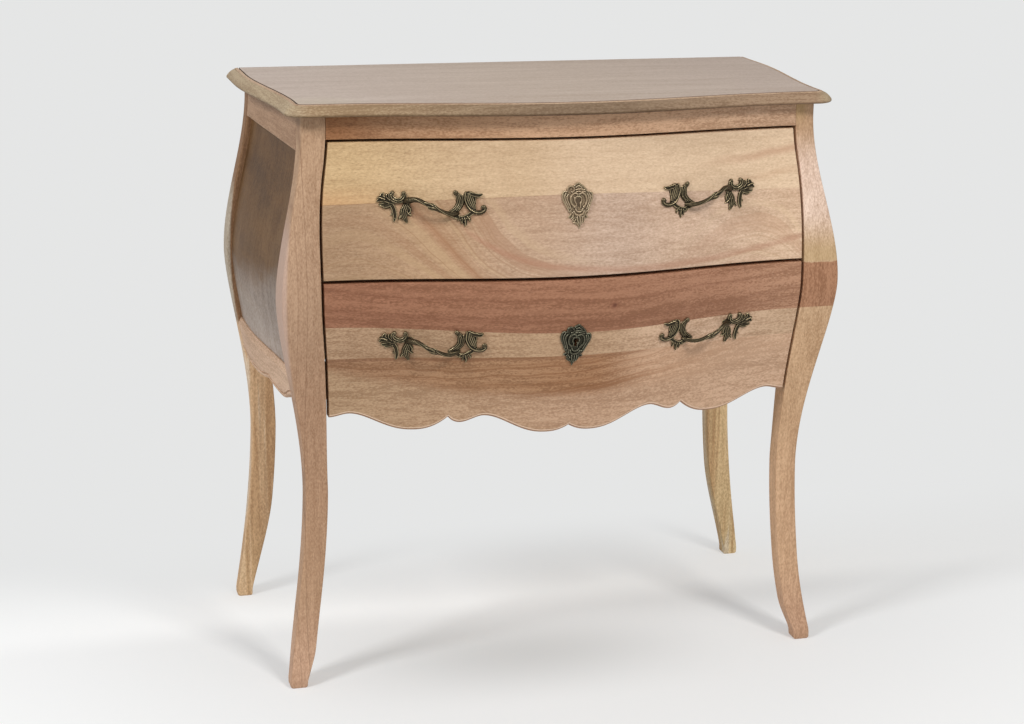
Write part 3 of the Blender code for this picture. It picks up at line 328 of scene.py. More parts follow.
def evaluated_mesh(mesh, *modifiers):
    """The mesh after modifiers, given as (kind, settings)."""
    base = linked("base", mesh)
    for kind, settings in modifiers:
        modifier = base.modifiers.new(kind, kind)
        for key, value in settings.items():
            setattr(modifier, key, value)
    bpy.context.view_layer.update()
    result = bpy.data.meshes.new_from_object(base.evaluated_get(bpy.context.evaluated_depsgraph_get()))
    bpy.data.objects.remove(base)
    return result


def cut_mesh(mesh, tool_mesh):
    """The mesh with the place of another cut out of it."""
    tool = linked("tool", tool_mesh)
    cut = ("BOOLEAN", {"operation": "DIFFERENCE", "solver": "EXACT", "object": tool})
    result = evaluated_mesh(mesh, cut)
    bpy.data.objects.remove(tool)
    return result


# Materials

def srgb(*channels):
    """A colour as it looks on a screen, from 0 to 255, made linear."""
    shares = [channel / 255.0 for channel in channels]
    return tuple(share / 12.92 if share <= 0.04045 else ((share + 0.055) / 1.055) ** 2.4 for share in shares)


class Nodes:
    """The nodes of a material or of the world."""

    def __init__(self, owner):
        owner.use_nodes = True
        self.tree = owner.node_tree

    def node(self, kind, inputs=None, **settings):
        node = self.tree.nodes.new(kind)
        for key, value in settings.items():
            setattr(node, key, value)
        return self.fill(node, inputs or {})

    def fill(self, node, inputs):
        """Gives inputs of a node a socket to follow, a colour or a number."""
        for key, value in inputs.items():
            socket = node.inputs[key]
            if isinstance(value, bpy.types.NodeSocket):
                self.tree.links.new(value, socket)
            else:
                socket.default_value = (*value[:3], 1.0) if socket.type == "RGBA" else value
        return node

    def math(self, operation, first, second=0.0):
        return self.node("ShaderNodeMath", {0: first, 1: second}, operation=operation).outputs[0]

    def seen_directly(self):
        """1 for rays from the camera, or that a mirror or a glass passes on, else 0."""
        rays = self.node("ShaderNodeLightPath").outputs
        mirrored_or_passed = self.math("MAXIMUM", rays["Is Glossy Ray"], rays["Is Transmission Ray"])
        return self.math("MAXIMUM", rays["Is Camera Ray"], mirrored_or_passed)


class Paint(Nodes):
    """A material worked out by nodes from the place on the object."""

    def __init__(self, name):
        self.material = bpy.data.materials.new(name)
        super().__init__(self.material)
        self.shader = self.tree.nodes["Principled BSDF"]
        self.place = self.node("ShaderNodeTexCoord").outputs["Object"]
        self.x, self.y, self.z = self.node("ShaderNodeSeparateXYZ", {0: self.place}).outputs

    def vector_math(self, operation, *inputs):
        return self.node("ShaderNodeVectorMath", dict(enumerate(inputs)), operation=operation).outputs

    def sum(self, *terms):
        """The sum of sockets, (socket, factor) pairs and numbers."""
        total = 0.0
        made = None
        for term in terms:
            if isinstance(term, float):
                total += term
                continue
            value = self.math("MULTIPLY", *term) if isinstance(term, tuple) else term
            made = value if made is None else self.math("ADD", made, value)
        return self.math("ADD", made, total)

    def noise(self, scales, detail=3.0, roughness=0.55, distortion=0.0, shift=0.0):
        spot = self.vector_math("MULTIPLY_ADD", self.place, scales, (shift,) * 3)[0]
        return self.noise_at(spot, detail, roughness, distortion)

    def noise_at(self, spot, detail, roughness, distortion=0.0):
        settings = {"Vector": spot, "Scale": 1.0, "Detail": detail, "Roughness": roughness}
        return self.node("ShaderNodeTexNoise", {**settings, "Distortion": distortion}).outputs["Fac"]

    def lines(self, value, scale, shift, detail=3.0, roughness=0.6):
        """Noise that changes only with a value, as year rings do with the place in a log."""
        spot = self.node("ShaderNodeCombineXYZ", {0: self.math("MULTIPLY", value, scale), 1: shift})
        return self.noise_at(spot.outputs[0], detail, roughness)

    def wander(self, *settings):
        """Noise about zero, for what strays from a line."""
        return self.sum(self.noise(*settings), -0.5)

    def distance(self, spot):
        return self.vector_math("DISTANCE", self.place, spot)["Value"]

    def window(self, value, low, high):
        """0 at low, 1 at high, smooth between."""
        made = self.node(
            "ShaderNodeMapRange", {"Value": value, "From Min": low, "From Max": high},
            interpolation_type="SMOOTHSTEP")
        return made.outputs["Result"]

    def band(self, value, middle, width):
        """1 at the middle of a band, fading to 0 at its edges."""
        return self.window(self.math("ABSOLUTE", self.sum(value, -middle)), width, 0.0)

    def where(self, *shares):
        """The product of shares, of which a (value, low, high) is a window."""
        made = None
        for share in shares:
            share = self.window(*share) if isinstance(share, tuple) else share
            made = share if made is None else self.math("MULTIPLY", made, share)
        return made

    def mix(self, share, first, second):
        return self.node("ShaderNodeMix", {0: share, 6: first, 7: second}, data_type="RGBA").outputs[2]

    def marked(self, colour, *marks):
        """A colour turned by (amount, screen colour or socket, *shares) marks, where all shares are 1."""
        for amount, target, *shares in marks:
            target = srgb(*target) if isinstance(target, tuple) else target
            colour = self.mix(self.math("MULTIPLY", self.where(*shares), amount), colour, target)
        return colour

    def scaled(self, colour, factors):
        return self.vector_math("MULTIPLY", colour, factors)[0]

    def ramp(self, value, *stops):
        """A colour that changes smoothly through stops: a place and a screen colour."""
        made = srgb(*stops[0][1:])
        for (before, *_), (place, *colour) in zip(stops, stops[1:]):
            made = self.mix(self.window(value, before, place), made, srgb(*colour))
        return made

    def finish(self, colour, roughness, height, lift=0.3 * MM, specular=0.22, metallic=0.0):
        bump = self.node("ShaderNodeBump", {"Height": height, "Distance": lift, "Strength": 1.0})
        self.fill(self.shader, {
            "Base Color": colour, "Roughness": roughness, "Specular IOR Level": specular,
            "Metallic": metallic, "Normal": bump.outputs["Normal"]})
        return self.material


def along(axis, across, lengthwise):
    return tuple(lengthwise if name == axis else across for name in "xyz")


class Grain:
    """Figure, streaks, specks and pores of one piece of wood whose grain runs along an axis."""

    def __init__(self, paint, axis, shift=0.0, bend=0.5):
        self.paint = paint
        self.broad = paint.noise(along(axis, 27.0, 2.2), 3.0, 0.5, bend, shift)
        self.fine = paint.noise(along(axis, 200.0, 9.0), 4.0, 0.6, 0.2, shift)
        self.speck = paint.noise(along(axis, 470.0, 220.0), 2.0, 0.5, 0.0, shift)
        self.pores = paint.window(paint.noise(along(axis, 900.0, 130.0), 2.0, 0.5, 0.0, shift), 0.56, 0.70)

    def colour(self, mean, contrast=1.0, pores=0.25):
        """The wood's colour about its mean, given as a socket or linear."""
        paint = self.paint
        terms = ((self.broad, 1.5 * contrast), (self.fine, 2.1 * contrast), (self.speck, 2.6 * contrast))
        tone = paint.sum(*terms, 0.5 - 0.5 * sum(factor for _, factor in terms))
        dark, light = paint.scaled(mean, (0.80, 0.75, 0.70)), paint.scaled(mean, (1.20, 1.23, 1.25))
        made = paint.mix(tone, dark, light)
        return paint.marked(made, (pores, paint.scaled(mean, (0.55, 0.47, 0.40)), self.pores))

    def height(self):
        return self.paint.sum((self.pores, -0.6), (self.fine, -0.5), (self.speck, 0.4))


def wood_paint(name, axis, mean, shift, contrast=1.0, roughness=0.62, extra=None):
    """Bare wood; its mean is a screen colour or depends on the place, and extra adds marks to it."""
    paint = Paint(name)
    grain = Grain(paint, axis, shift)
    colour = grain.colour(mean(paint) if callable(mean) else srgb(*mean), contrast)
    if extra:
        colour = extra(paint, grain, colour)
    return paint.finish(colour, roughness, grain.height())


def mean_along(axis, *stops):
    return lambda paint: paint.ramp(getattr(paint, axis), *stops)


# Bottom and top of the block in the right post
BLOCK = (0.5665, 0.6385)


def left_post_lines(paint, _, colour):
    """Two glue lines down the face, and a painted highlight: a pale, cool strip along the lit outer edge."""
    wobble = paint.wander(along("z", 9.0, 1.5), 2.0, 0.5, 0.0, 0.7)
    swell = paint.band(paint.z, BULGE_HEIGHT, 0.42 * FRAME_TOP)
    outer = paint.sum(paint.math("ABSOLUTE", paint.x), (swell, -0.0375), 0.004 - KNEE_HALF_WIDTH)
    return paint.marked(
        colour,
        (0.45, (120, 88, 64), paint.band(paint.sum(paint.x, (wobble, 0.012)), -0.3985, 1.2 * MM)),
        (0.3, (128, 94, 70), paint.band(paint.sum(paint.x, (wobble, 0.02)), -0.412, 1.4 * MM)),
        # Painted highlight: the outer side face, where it catches the light, is painted pale and cool.
        (0.55, (190, 164, 152), (outer, -0.005, 0.0), (paint.z, 0.32, 0.48), (paint.z, 0.84, 0.70)))


def right_post_bands(paint, grain, colour):
    """A dark block glued in at the bulge, greenish wood over it, and greenish wood at the top."""
    bottom, top = BLOCK
    wavy = paint.sum(paint.z, (paint.wander((60.0,) * 3, 2.0), 0.010))
    block = grain.colour(srgb(159, 116, 88), 1.1)
    return paint.marked(
        colour,
        (0.4, (182, 154, 108), (wavy, top, top + 4.0 * MM), (wavy, top + 42.0 * MM, top + 10.0 * MM)),
        (1.0, block, (paint.z, bottom - 0.5 * MM, bottom + 0.5 * MM),
         (wavy, top + 1.0 * MM, top - 1.0 * MM)),
        (0.5, (178, 150, 98), (paint.z, 0.84, 0.88), (paint.x, 0.39, 0.37)))


def rear_post_mean(paint):
    """Ochre legs; above the rail, painted shade on a brown inner face and a painted highlight on a pale
    outer strip.
    """
    streak = paint.noise(along("z", 60.0, 1.5), 2.0, 0.5, 0.0, 2.6)
    legs = paint.marked(
        paint.ramp(paint.x, (-0.43, 203, 168, 131), (0.43, 204, 175, 133)),
        (0.6, (206, 190, 170), (streak, 0.52, 0.60)),
        (0.5, (176, 134, 92), (streak, 0.47, 0.40)))
    legs = paint.marked(legs, (1.0, paint.scaled(legs, (1.14, 1.20, 1.22)), (paint.z, 0.20, 0.0)))
    swell = paint.band(paint.z, BULGE_HEIGHT, 0.34)
    outer = paint.sum(paint.math("ABSOLUTE", paint.x), (swell, -0.0385))
    # Painted shade and light: above the rail the inner face is painted brown as if in shade, and the outer
    # side face pale as if lit.
    upper = paint.marked(
        srgb(130, 97, 69),
        (1.0, (170, 156, 138), (outer, 0.4160, 0.4195)),
        (1.0, legs, (paint.y, BACK_Y - 3.5 * MM, BACK_Y - 0.5 * MM)))
    return paint.marked(legs, (1.0, upper, (paint.z, 0.478, 0.492)))


def upper_drawer_paint():
    """A pale yellow board over a pink one with a nested figure, glued along a bent joint."""
    paint = Paint("upper_drawer_wood")
    x, z = paint.x, paint.z
    depth = paint.sum((paint.y, -1.0), BACK_Y)
    pale = Grain(paint, "x", 3.1, 0.3)
    pink = Grain(paint, "x", 8.7, 0.4)
    wander = paint.wander((7.0,) * 3, 3.0, 0.5, 0.0, 1.7)

    # Lightens towards the right: partly the board's own tone, partly painted light from the right.
    top_mean = paint.ramp(
        x, (-0.36, 188, 158, 118), (-0.10, 197, 168, 135), (0.02, 206, 178, 148), (0.16, 211, 183, 153),
        (0.36, 216, 188, 158))
    streak = paint.sum(z, (x, -0.085), (wander, 0.03))
    top = paint.marked(
        pale.colour(top_mean, 0.65),
        (0.35, top_mean, (x, -0.30, -0.05)),
        (0.5, (200, 152, 108), (x, -0.22, -0.36), (z, 0.79, 0.75)),
        (0.55, (180, 136, 108), paint.band(streak, 0.7795, 0.010), (x, 0.16, 0.34)),
        (0.3, (184, 144, 112), paint.band(streak, 0.748, 0.008), (x, 0.20, 0.34)))

    # Lightens towards the right: partly the board's own tone, partly painted light from the right.
    low_mean = paint.ramp(
        x, (-0.36, 161, 131, 103), (-0.20, 174, 142, 112), (-0.08, 181, 151, 126), (0.06, 189, 162, 142),
        (0.18, 199, 170, 147), (0.36, 207, 177, 150))
    reach = paint.math("SQRT", paint.sum(paint.math("MULTIPLY", x, x), 0.0025))
    ring = paint.sum(z, (depth, 3.83), (reach, 0.395), (x, 0.105), (wander, 0.018))
    strength = paint.sum(
        (paint.window(x, 0.06, -0.10), 0.48), (paint.window(x, -0.20, -0.33), -0.30),
        (paint.window(x, 0.12, 0.30), 0.30), 0.10)
    figure = paint.lines(ring, 80.0, 3.7, 4.0, 0.62)
    fine = paint.lines(ring, 420.0, 5.1, 2.0, 0.5)
    off = paint.sum(x, -0.11)
    steep = paint.math("POWER", paint.math("MAXIMUM", paint.sum((x, -1.0)), 0.0), 3.0)
    cup = paint.sum(z, (paint.math("MULTIPLY", off, off), -0.43), (steep, -7.0))
    low = paint.marked(
        pink.colour(low_mean, 0.7),
        (1.0, paint.scaled(low_mean, (0.80, 0.68, 0.62)), (figure, 0.50, 0.64), strength),
        (0.8, paint.scaled(low_mean, (1.12, 1.16, 1.08)), (figure, 0.47, 0.38), strength),
        (1.0, paint.scaled(low_mean, (0.76, 0.66, 0.58)), (fine, 0.52, 0.66), strength),
        (0.4, (158, 112, 82), paint.band(ring, 2.487, 0.006), (x, -0.12, -0.16)),
        (0.4, (164, 114, 90), (cup, 0.644, 0.6495), (cup, 0.6600, 0.6515), (x, -0.19, -0.14)))

    seam = 0.6423
    joint = paint.sum(z, (depth, -0.2635), (x, 0.0017), (wander, 0.003))
    colour = paint.marked(
        top,
        (1.0, low, (joint, seam + 0.5 * MM, seam - 0.5 * MM)),
        (0.45, (130, 94, 66), paint.band(joint, seam, 1.2 * MM), (x, 0.10, -0.25)))
    return paint.finish(colour, 0.58, pale.height())


def lower_drawer_paint():
    """Red brown, pale tan and streaky brown boards; a pale hem, and along the apron's rounded edge a painted
    highlight over painted shade.
    """
    paint = Paint("lower_drawer_wood")
    x, z = paint.x, paint.z
    depth = paint.sum((paint.y, -1.0), BACK_Y)
    red = Grain(paint, "x", 1.3, 0.3)
    pale = Grain(paint, "x", 5.9, 0.3)
    brown = Grain(paint, "x", 9.4, 0.6)
    wander = paint.wander((7.0,) * 3, 3.0, 0.5, 0.0, 4.4)
    valley = paint.math("MULTIPLY", x, x)

    # The boards' means mostly lighten towards the right: partly their own tone, partly painted light from
    # the right.
    top_mean = paint.ramp(
        x, (-0.36, 142, 98, 74), (0.0, 148, 104, 79), (0.22, 156, 113, 88), (0.36, 165, 124, 98))
    arcs = paint.lines(paint.sum(z, (valley, -0.16), (wander, 0.022)), 95.0, 1.3)
    knot = paint.distance(at(0.057, 0.4837, 0.5984))
    top = paint.marked(
        red.colour(top_mean, 1.35),
        (0.5, paint.scaled(top_mean, (0.74, 0.66, 0.62)), (arcs, 0.50, 0.66)),
        (0.45, paint.scaled(top_mean, (1.22, 1.26, 1.28)), (arcs, 0.48, 0.34)),
        (0.45, (126, 76, 56), (knot, 0.010, 0.003)),
        (0.7, (88, 50, 38), (knot, 0.005, 0.001)))

    middle_mean = paint.ramp(
        x, (-0.36, 166, 135, 107), (0.0, 174, 142, 112), (0.20, 204, 171, 144), (0.36, 184, 153, 125))

    base_mean = paint.ramp(
        x, (-0.36, 147, 111, 83), (-0.12, 156, 118, 87), (0.03, 157, 116, 84), (0.14, 196, 159, 130),
        (0.30, 199, 164, 136))
    sweeps = paint.lines(paint.sum(z, (x, -0.10), (valley, -0.30), (wander, 0.03)), 75.0, 8.1)
    most = paint.sum((paint.window(x, 0.24, 0.06), 0.6), 0.2)
    hem_mean = paint.ramp(x, (-0.36, 171, 141, 111), (0.05, 189, 155, 128), (0.36, 194, 160, 133))
    hem = paint.sum(z, (valley, -0.36), (wander, 0.02))
    base = paint.marked(
        brown.colour(base_mean, 1.7),
        (0.4, base_mean, (x, 0.04, 0.14)),
        (1.0, paint.scaled(base_mean, (0.72, 0.60, 0.50)), (sweeps, 0.49, 0.60), most),
        (0.85, pale.colour(hem_mean, 1.2), (hem, 0.468, 0.445)))

    upper_joint = paint.sum(z, (depth, 0.2649), (x, 0.0111), (wander, 0.003))
    lower_joint = paint.sum(z, (depth, 0.0711), (wander, 0.003))
    normal = paint.node("ShaderNodeNewGeometry").outputs["Normal"]
    facing = paint.node("ShaderNodeSeparateXYZ", {0: normal}).outputs[2]
    under = paint.window(z, 0.468, 0.464)
    colour = paint.marked(
        top,
        (1.0, pale.colour(middle_mean, 1.1), (upper_joint, 0.6865, 0.6855)),
        (1.0, base, (lower_joint, 0.5552, 0.5544)),
        (0.45, (124, 86, 62), paint.band(lower_joint, 0.5520, 0.0045), (x, 0.20, 0.02)),
        # Painted highlight on the upper part of the apron's rounded edge, and painted shade where it faces
        # down.
        (0.85, (232, 202, 176), (facing, -0.27, -0.33), (facing, -0.56, -0.48), under),
        (0.6, (150, 110, 86), (facing, -0.48, -0.60), under))
    return paint.finish(colour, 0.58, red.height())


def top_marks(paint, _, colour):
    """A greenish front left corner, and painted shade on the field's edge, down in the fine groove round the
    field.
    """
    corner = paint.distance((-0.375, -0.165, TOP_HEIGHT))
    # Painted shade: the field's edge below its top, in the groove, is painted dark, except at the back.
    under = (paint.z, TOP_HEIGHT - 0.2 * MM, TOP_HEIGHT - 0.5 * MM)
    before_back = (paint.y, BACK_Y - 0.5 * MM, BACK_Y - 2.0 * MM)
    return paint.marked(
        colour, (0.2, (184, 174, 142), (corner, 0.09, 0.02)), (1.0, (74, 56, 42), under, before_back))


def moulding_mean(*stops):
    """A pinkish strip above, a curved face whose colour changes along x, and painted shade on its lower
    edge, which turns under.
    """
    def mean(paint):
        face = paint.ramp(paint.x, *stops)
        dark = paint.scaled(face, (0.66, 0.62, 0.58))
        return paint.marked(
            face,
            # Painted shade: a darker copy of the face where the lower edge turns down, away from the light.
            (1.0, dark, (paint.z, TOP_HEIGHT - 12.0 * MM, TOP_HEIGHT - 16.0 * MM)),
            (1.0, (173, 145, 120), (paint.z, TOP_HEIGHT - 2.1 * MM, TOP_HEIGHT - 1.3 * MM)))
    return mean


def panel_paint():
    """Dark smooth bent board, turning pale grey towards its bottom: a painted reflection of the pale floor.
    """
    paint = Paint("panel_wood")
    grain = Grain(paint, "z", 2.2)
    cloud = paint.noise((11.0, 4.0, 11.0), 5.0, 0.65)
    high = paint.sum(paint.z, (paint.y, 0.12), (cloud, 0.14), -0.07)
    # Painted reflection: the board is paler and greyer low down, as if the pale floor were mirrored in it.
    mean = paint.ramp(
        high, (0.48, 174, 159, 149), (0.575, 141, 127, 117), (0.645, 99, 74, 50), (0.80, 92, 66, 41))
    mean = paint.mix(
        paint.window(cloud, 0.30, 0.70), paint.scaled(mean, (0.74, 0.72, 0.70)),
        paint.scaled(mean, (1.26, 1.28, 1.28)))
    colour = grain.colour(mean, 1.2, 0.2)
    return paint.finish(colour, paint.sum((cloud, 0.10), 0.42), grain.height(), 0.1 * MM, 0.06)


# Pointiness in the hollows, on the flats and on the worn ridges of a casting
POINTS = (0.486, 0.506, 0.545)


def brass_paint(name, light, middle, dark, metallic=0.85):
    """Antiqued brass: dark in its hollows, worn bright on its ridges."""
    paint = Paint(name)
    spots = paint.noise((420.0,) * 3, 3.0, 0.6)
    point = paint.sum(paint.node("ShaderNodeNewGeometry").outputs["Pointiness"], (spots, 0.03), -0.015)
    worn = paint.window(point, *POINTS[1:])
    colour = paint.marked(srgb(*dark), (1.0, middle, (point, *POINTS[:2])), (1.0, light, worn))
    green = paint.noise((130.0,) * 3, 2.0, 0.5, 0.0, 3.3)
    colour = paint.marked(colour, (0.25, paint.scaled(colour, (0.78, 1.0, 0.92)), (green, 0.45, 0.70)))
    roughness = paint.sum((worn, -0.08), (spots, 0.15), 0.32)
    return paint.finish(colour, roughness, spots, 0.1 * MM, 0.5, metallic)


def steel_paint():
    paint = Paint("lock_steel_metal")
    brushed = paint.noise((40.0, 900.0, 900.0), 3.0)
    colour = paint.mix(brushed, srgb(150, 150, 148), srgb(180, 180, 176))
    return paint.finish(colour, paint.sum((brushed, 0.2), 0.26), brushed, 0.05 * MM, 0.5, 1.0)


LEFT_POST_MEAN = mean_along(
    "z", (0.02, 187, 151, 125), (0.16, 174, 139, 110), (0.42, 167, 132, 105), (0.62, 167, 135, 109),
    (0.86, 169, 137, 109))
# The pale band from 0.72 to 0.78 up is a painted highlight on the upper shoulder of the bulge.
RIGHT_POST_MEAN = mean_along(
    "z", (0.02, 184, 147, 120), (0.16, 196, 159, 126), (0.50, 191, 156, 122), (0.66, 190, 160, 128),
    (0.72, 217, 190, 171), (0.78, 221, 193, 174), (0.85, 188, 153, 121))
# Darker towards the left end: painted shade under the moulding.
FRONT_RAIL_MEAN = mean_along(
    "x", (-0.36, 139, 95, 62), (-0.22, 170, 131, 99), (0.0, 189, 150, 119), (0.36, 188, 153, 125))
TOP_MEAN = mean_along("x", (-0.40, 184, 168, 157), (0.0, 181, 164, 150), (0.40, 179, 162, 150))
OLIVE = (162, 142, 115)
FRONT_MOULDING_MEAN = moulding_mean(
    (-0.412, *OLIVE), (-0.385, 154, 130, 101), (0.0, 122, 101, 80), (0.385, 147, 121, 97), (0.412, *OLIVE))

paints = {
    "left_post": wood_paint("left_post_wood", "z", LEFT_POST_MEAN, 0.7, 0.75, extra=left_post_lines),
    "right_post": wood_paint("right_post_wood", "z", RIGHT_POST_MEAN, 4.2, 0.85, extra=right_post_bands),
    "rear_post": wood_paint("rear_post_wood", "z", rear_post_mean, 6.1),
    "front_rail": wood_paint("front_rail_wood", "x", FRONT_RAIL_MEAN, 2.9, 1.3),
    "side_top_rail": wood_paint("side_top_rail_wood", "y", (159, 127, 101), 7.7, 1.2),
    "side_rail": wood_paint("side_rail_wood", "y", (191, 159, 133), 6.6),
    "top": wood_paint("top_wood", "x", TOP_MEAN, 5.3, 0.45, 0.60, top_marks),
    "front_moulding": wood_paint("front_moulding_wood", "x", FRONT_MOULDING_MEAN, 3.3, 1.2),
    "side_moulding": wood_paint("side_moulding_wood", "y", moulding_mean((0.0, *OLIVE)), 8.1, 1.2),
    "upper_drawer": upper_drawer_paint(),
    "lower_drawer": lower_drawer_paint(),
    "panel": panel_paint(),
    "inner_long": wood_paint("inner_long_wood", "x", (194, 164, 128), 9.9),
    "inner_deep": wood_paint("inner_deep_wood", "y", (194, 164, 128), 1.9),
    "plywood": wood_paint("plywood_sheet", "x", (198, 170, 134), 4.8, 0.7),
    "pull": brass_paint("pull_brass", (168, 151, 118), (66, 57, 41), (24, 20, 14)),
    "upper_key": brass_paint("upper_key_brass", (188, 168, 140), (136, 115, 88), (82, 66, 47), 0.5),
    "lower_key": brass_paint("lower_key_brass", (136, 132, 112), (62, 59, 47), (24, 22, 15)),
    "steel": steel_paint(),
}


# Posts

# Levels of a post and their insets, which ease its lower edge
POST_LEVELS = [(0.0, 1.5 * MM), (1.5 * MM, 0.4 * MM)]
POST_LEVELS += [(z, 0.0) for z in levels(3.0 * MM, FRAME_TOP, POST_ROWS)]


def front_post_ring(z, inset):
    outer = corner_half_width(z) - inset
    inner = post_inner(z) + inset
    depth = corner_depth(z) - inset
    turn = post_turn(z)
    back = post_back_depth(z) + inset
    rounds = FRONT_POST_ROUNDS
    return eased_ring((
        (inner, depth + turn, rounds[0]),
        ((inner + outer) / 2, depth + turn * POST_TURN_MIDDLE_SHARE, 0.0),
        (outer, depth, rounds[1]),
        (side_half_width(back, z) - inset, back, rounds[2]),
        (inner, back, rounds[3]),
    ))


def rear_post_ring(z, inset):
    front = post_size(z, *REAR_POST_DEPTH) - inset
    inner = side_half_width(0.0, z) - post_size(z, *REAR_POST_WIDTH) + inset
    rounds = REAR_POST_ROUNDS
    return eased_ring((
        (inner, front, rounds[0]),
        (side_half_width(front, z) - inset, front, rounds[1]),
        (side_half_width(0.0, z) - inset, inset, rounds[2]),
        (inner, inset, rounds[3]),
    ))


def make_posts():
    for side_name, side in SIDES:
        for place, ring, paint in (
                ("front", front_post_ring, f"{side_name}_post"), ("rear", rear_post_ring, "rear_post")):
            mesh = loft([[at(side * x, y, z) for x, y in ring(z, inset)] for z, inset in POST_LEVELS])
            add_piece(f"{place}_{side_name}_post", mesh, "case", paint, "frame_wood")


# Sides

# The bead along the lower rail, in millimetres: up from the edge, and in from the face
BEAD = (
    (0.0, 3.0), (0.4, 1.9), (1.2, 0.9), (2.4, 0.2), (3.6, 0.0), (4.8, 0.1), (5.7, 0.7), (6.2, 2.2),
    (6.9, 3.0), (7.6, 2.2), (8.4, 0.8))
# The bevel from the lower rail to the panel, in millimetres: down from the top, and in
BEVEL = ((8.0, 0.9), (7.4, 1.5), (0.6, 6.0), (0.0, 6.8))


def side_point(share, z, inset):
    rear = post_size(z, *REAR_POST_DEPTH) + JOINT_GAP
    front = post_back_depth(z) - JOINT_GAP
    depth = rear + (front - rear) * share
    return at(side_half_width(depth, z) - inset, depth, z)


def bottom_rail_profile(share):
    """Rounded lower edge with a bead along it, and a bevel up to the panel."""
    start = SIDE_RAIL_BOTTOM + SCALLOP_DEPTH * wave(SCALLOP_SHARES, share)
    line = [(start + height * MM, inset * MM) for height, inset in BEAD]
    line += [(z, 0.8 * MM) for z in levels(start + 10.0 * MM, SIDE_RAIL_TOP - 8.5 * MM, 6)]
    return line + [(SIDE_RAIL_TOP - down * MM, inset * MM) for down, inset in BEVEL]


def top_rail_profile(_):
    bottom = SIDE_TOP_RAIL_BOTTOM
    line = [(bottom, 1.2 * MM), (bottom + 0.4 * MM, 0.4 * MM), (bottom + 1.2 * MM, 0.0)]
    return line + [(z, 0.0) for z in levels(bottom + 4.0 * MM, FRAME_TOP, 8)]


def panel_profile(_):
    rows = levels(SIDE_RAIL_TOP + JOINT_GAP, SIDE_TOP_RAIL_BOTTOM - JOINT_GAP, PANEL_ROWS)
    return [(z, PANEL_RECESS) for z in rows]


def side_board(profile, inner_inset, side):
    rings = []
    for share in levels(0.0, 1.0, SIDE_COLUMNS):
        line = profile(share)
        ring = [side_point(share, z, inset) for z, inset in line]
        ring += [side_point(share, z, inner_inset) for z, _ in reversed(line)]
        rings.append(mirrored(ring, side))
    return loft(rings)


def make_sides():
    parts = (
        ("bottom_rail", bottom_rail_profile, RAIL_THICKNESS, "side_rail", "frame_wood"),
        ("top_rail", top_rail_profile, RAIL_THICKNESS, "side_top_rail", "frame_wood"),
        ("side_panel", panel_profile, PANEL_RECESS + PANEL_THICKNESS, "panel", "panel_board"),
    )
    for side_name, side in SIDES:
        for part, profile, inner, paint, slot in parts:
            add_piece(f"{side_name}_{part}", side_board(profile, inner, side), "case", paint, slot)


# Boards that follow the front

def front_board(shares, gap, bottom, top, rows, rounds):
    """A bowed board with rounded edges; bottom depends on the share of the way across."""
    lower_round, upper_round = rounds
    ends = arc(upper_round)
    columns = [(-1.0, inward, back) for inward, back in ends[:-1]]
    columns += [(share, upper_round, 0.0) for share in shares]
    columns += [(1.0, inward, back) for inward, back in reversed(ends[:-1])]
    rings = []
    for share, inward, back in columns:
        start = bottom(share)
        line = [(start + rise, inset) for rise, inset in arc(lower_round, 8)]
        line += [(z, 0.0) for z in levels(start + lower_round, top - upper_round, rows)[1:-1]]
        line += [(top - rise, inset) for rise, inset in reversed(ends)]
        front = []
        rear = []
        for z, inset in line:
            x = share * (post_inner(z) - gap - inward)
            depth = front_depth(x, z)
            front.append(at(x, depth - max(inset, back), z))
            rear.append(at(x, depth - FRONT_THICKNESS, z))
        rings.append(front + list(reversed(rear)))
    return loft(rings)


def apron_columns():
    """Shares of the way across, with one at each point of the scalloped edge."""
    half = []
    for (start, _, _), (end, _, _) in zip(APRON_SHARES, APRON_SHARES[1:]):
        half += levels(start, end, max(FEWEST_APRON_STEPS, round((end - start) / APRON_STEP_SHARE)))[:-1]
    half.append(1.0)
    return [-share for share in reversed(half[1:])] + half


def keyhole_prism(size, start, end, x=0.0, z=0.0):
    """The solid of a keyhole from one y to another, with its round end about x and z."""
    radius, slot, drop = size
    turn = math.asin(slot / 2 / radius)
    outline = [(-slot / 2, -drop), (slot / 2, -drop)]
    for angle in levels(turn, 2 * math.pi - turn, KEYHOLE_STEPS):
        outline.append((radius * math.sin(angle), -radius * math.cos(angle)))
    return loft([[(x + across, y, z + up) for across, up in outline] for y in (start, end)])


def make_fronts():
    plain = levels(-1.0, 1.0, FRONT_COLUMNS)
    rail = front_board(plain, JOINT_GAP, lambda _: TOP_RAIL_BOTTOM, FRAME_TOP, RAIL_ROWS, RAIL_ROUNDS)
    add_piece("front_top_rail", rail, "case", "front_rail", "frame_wood")
    bottom, top = UPPER_FRONT
    upper = front_board(plain, SIDE_GAP, lambda _: bottom, top, DRAWER_ROWS, UPPER_FRONT_ROUNDS)
    add_piece("upper_drawer_front", upper, "upper_drawer", "upper_drawer", "drawer_wood")
    lower = front_board(
        apron_columns(), SIDE_GAP, apron_edge, LOWER_FRONT[1], DRAWER_ROWS, LOWER_FRONT_ROUNDS)
    x, z = KEY_PLACES["lower"], KEY_HEIGHTS["lower"]
    face = BACK_Y - front_depth(0.0, z)
    lower = cut_mesh(lower, keyhole_prism(WOOD_KEYHOLE, face - 20.0 * MM, face + 40.0 * MM, x, z))
    add_piece("lower_drawer_front", lower, "lower_drawer", "lower_drawer", "drawer_wood")


# Top

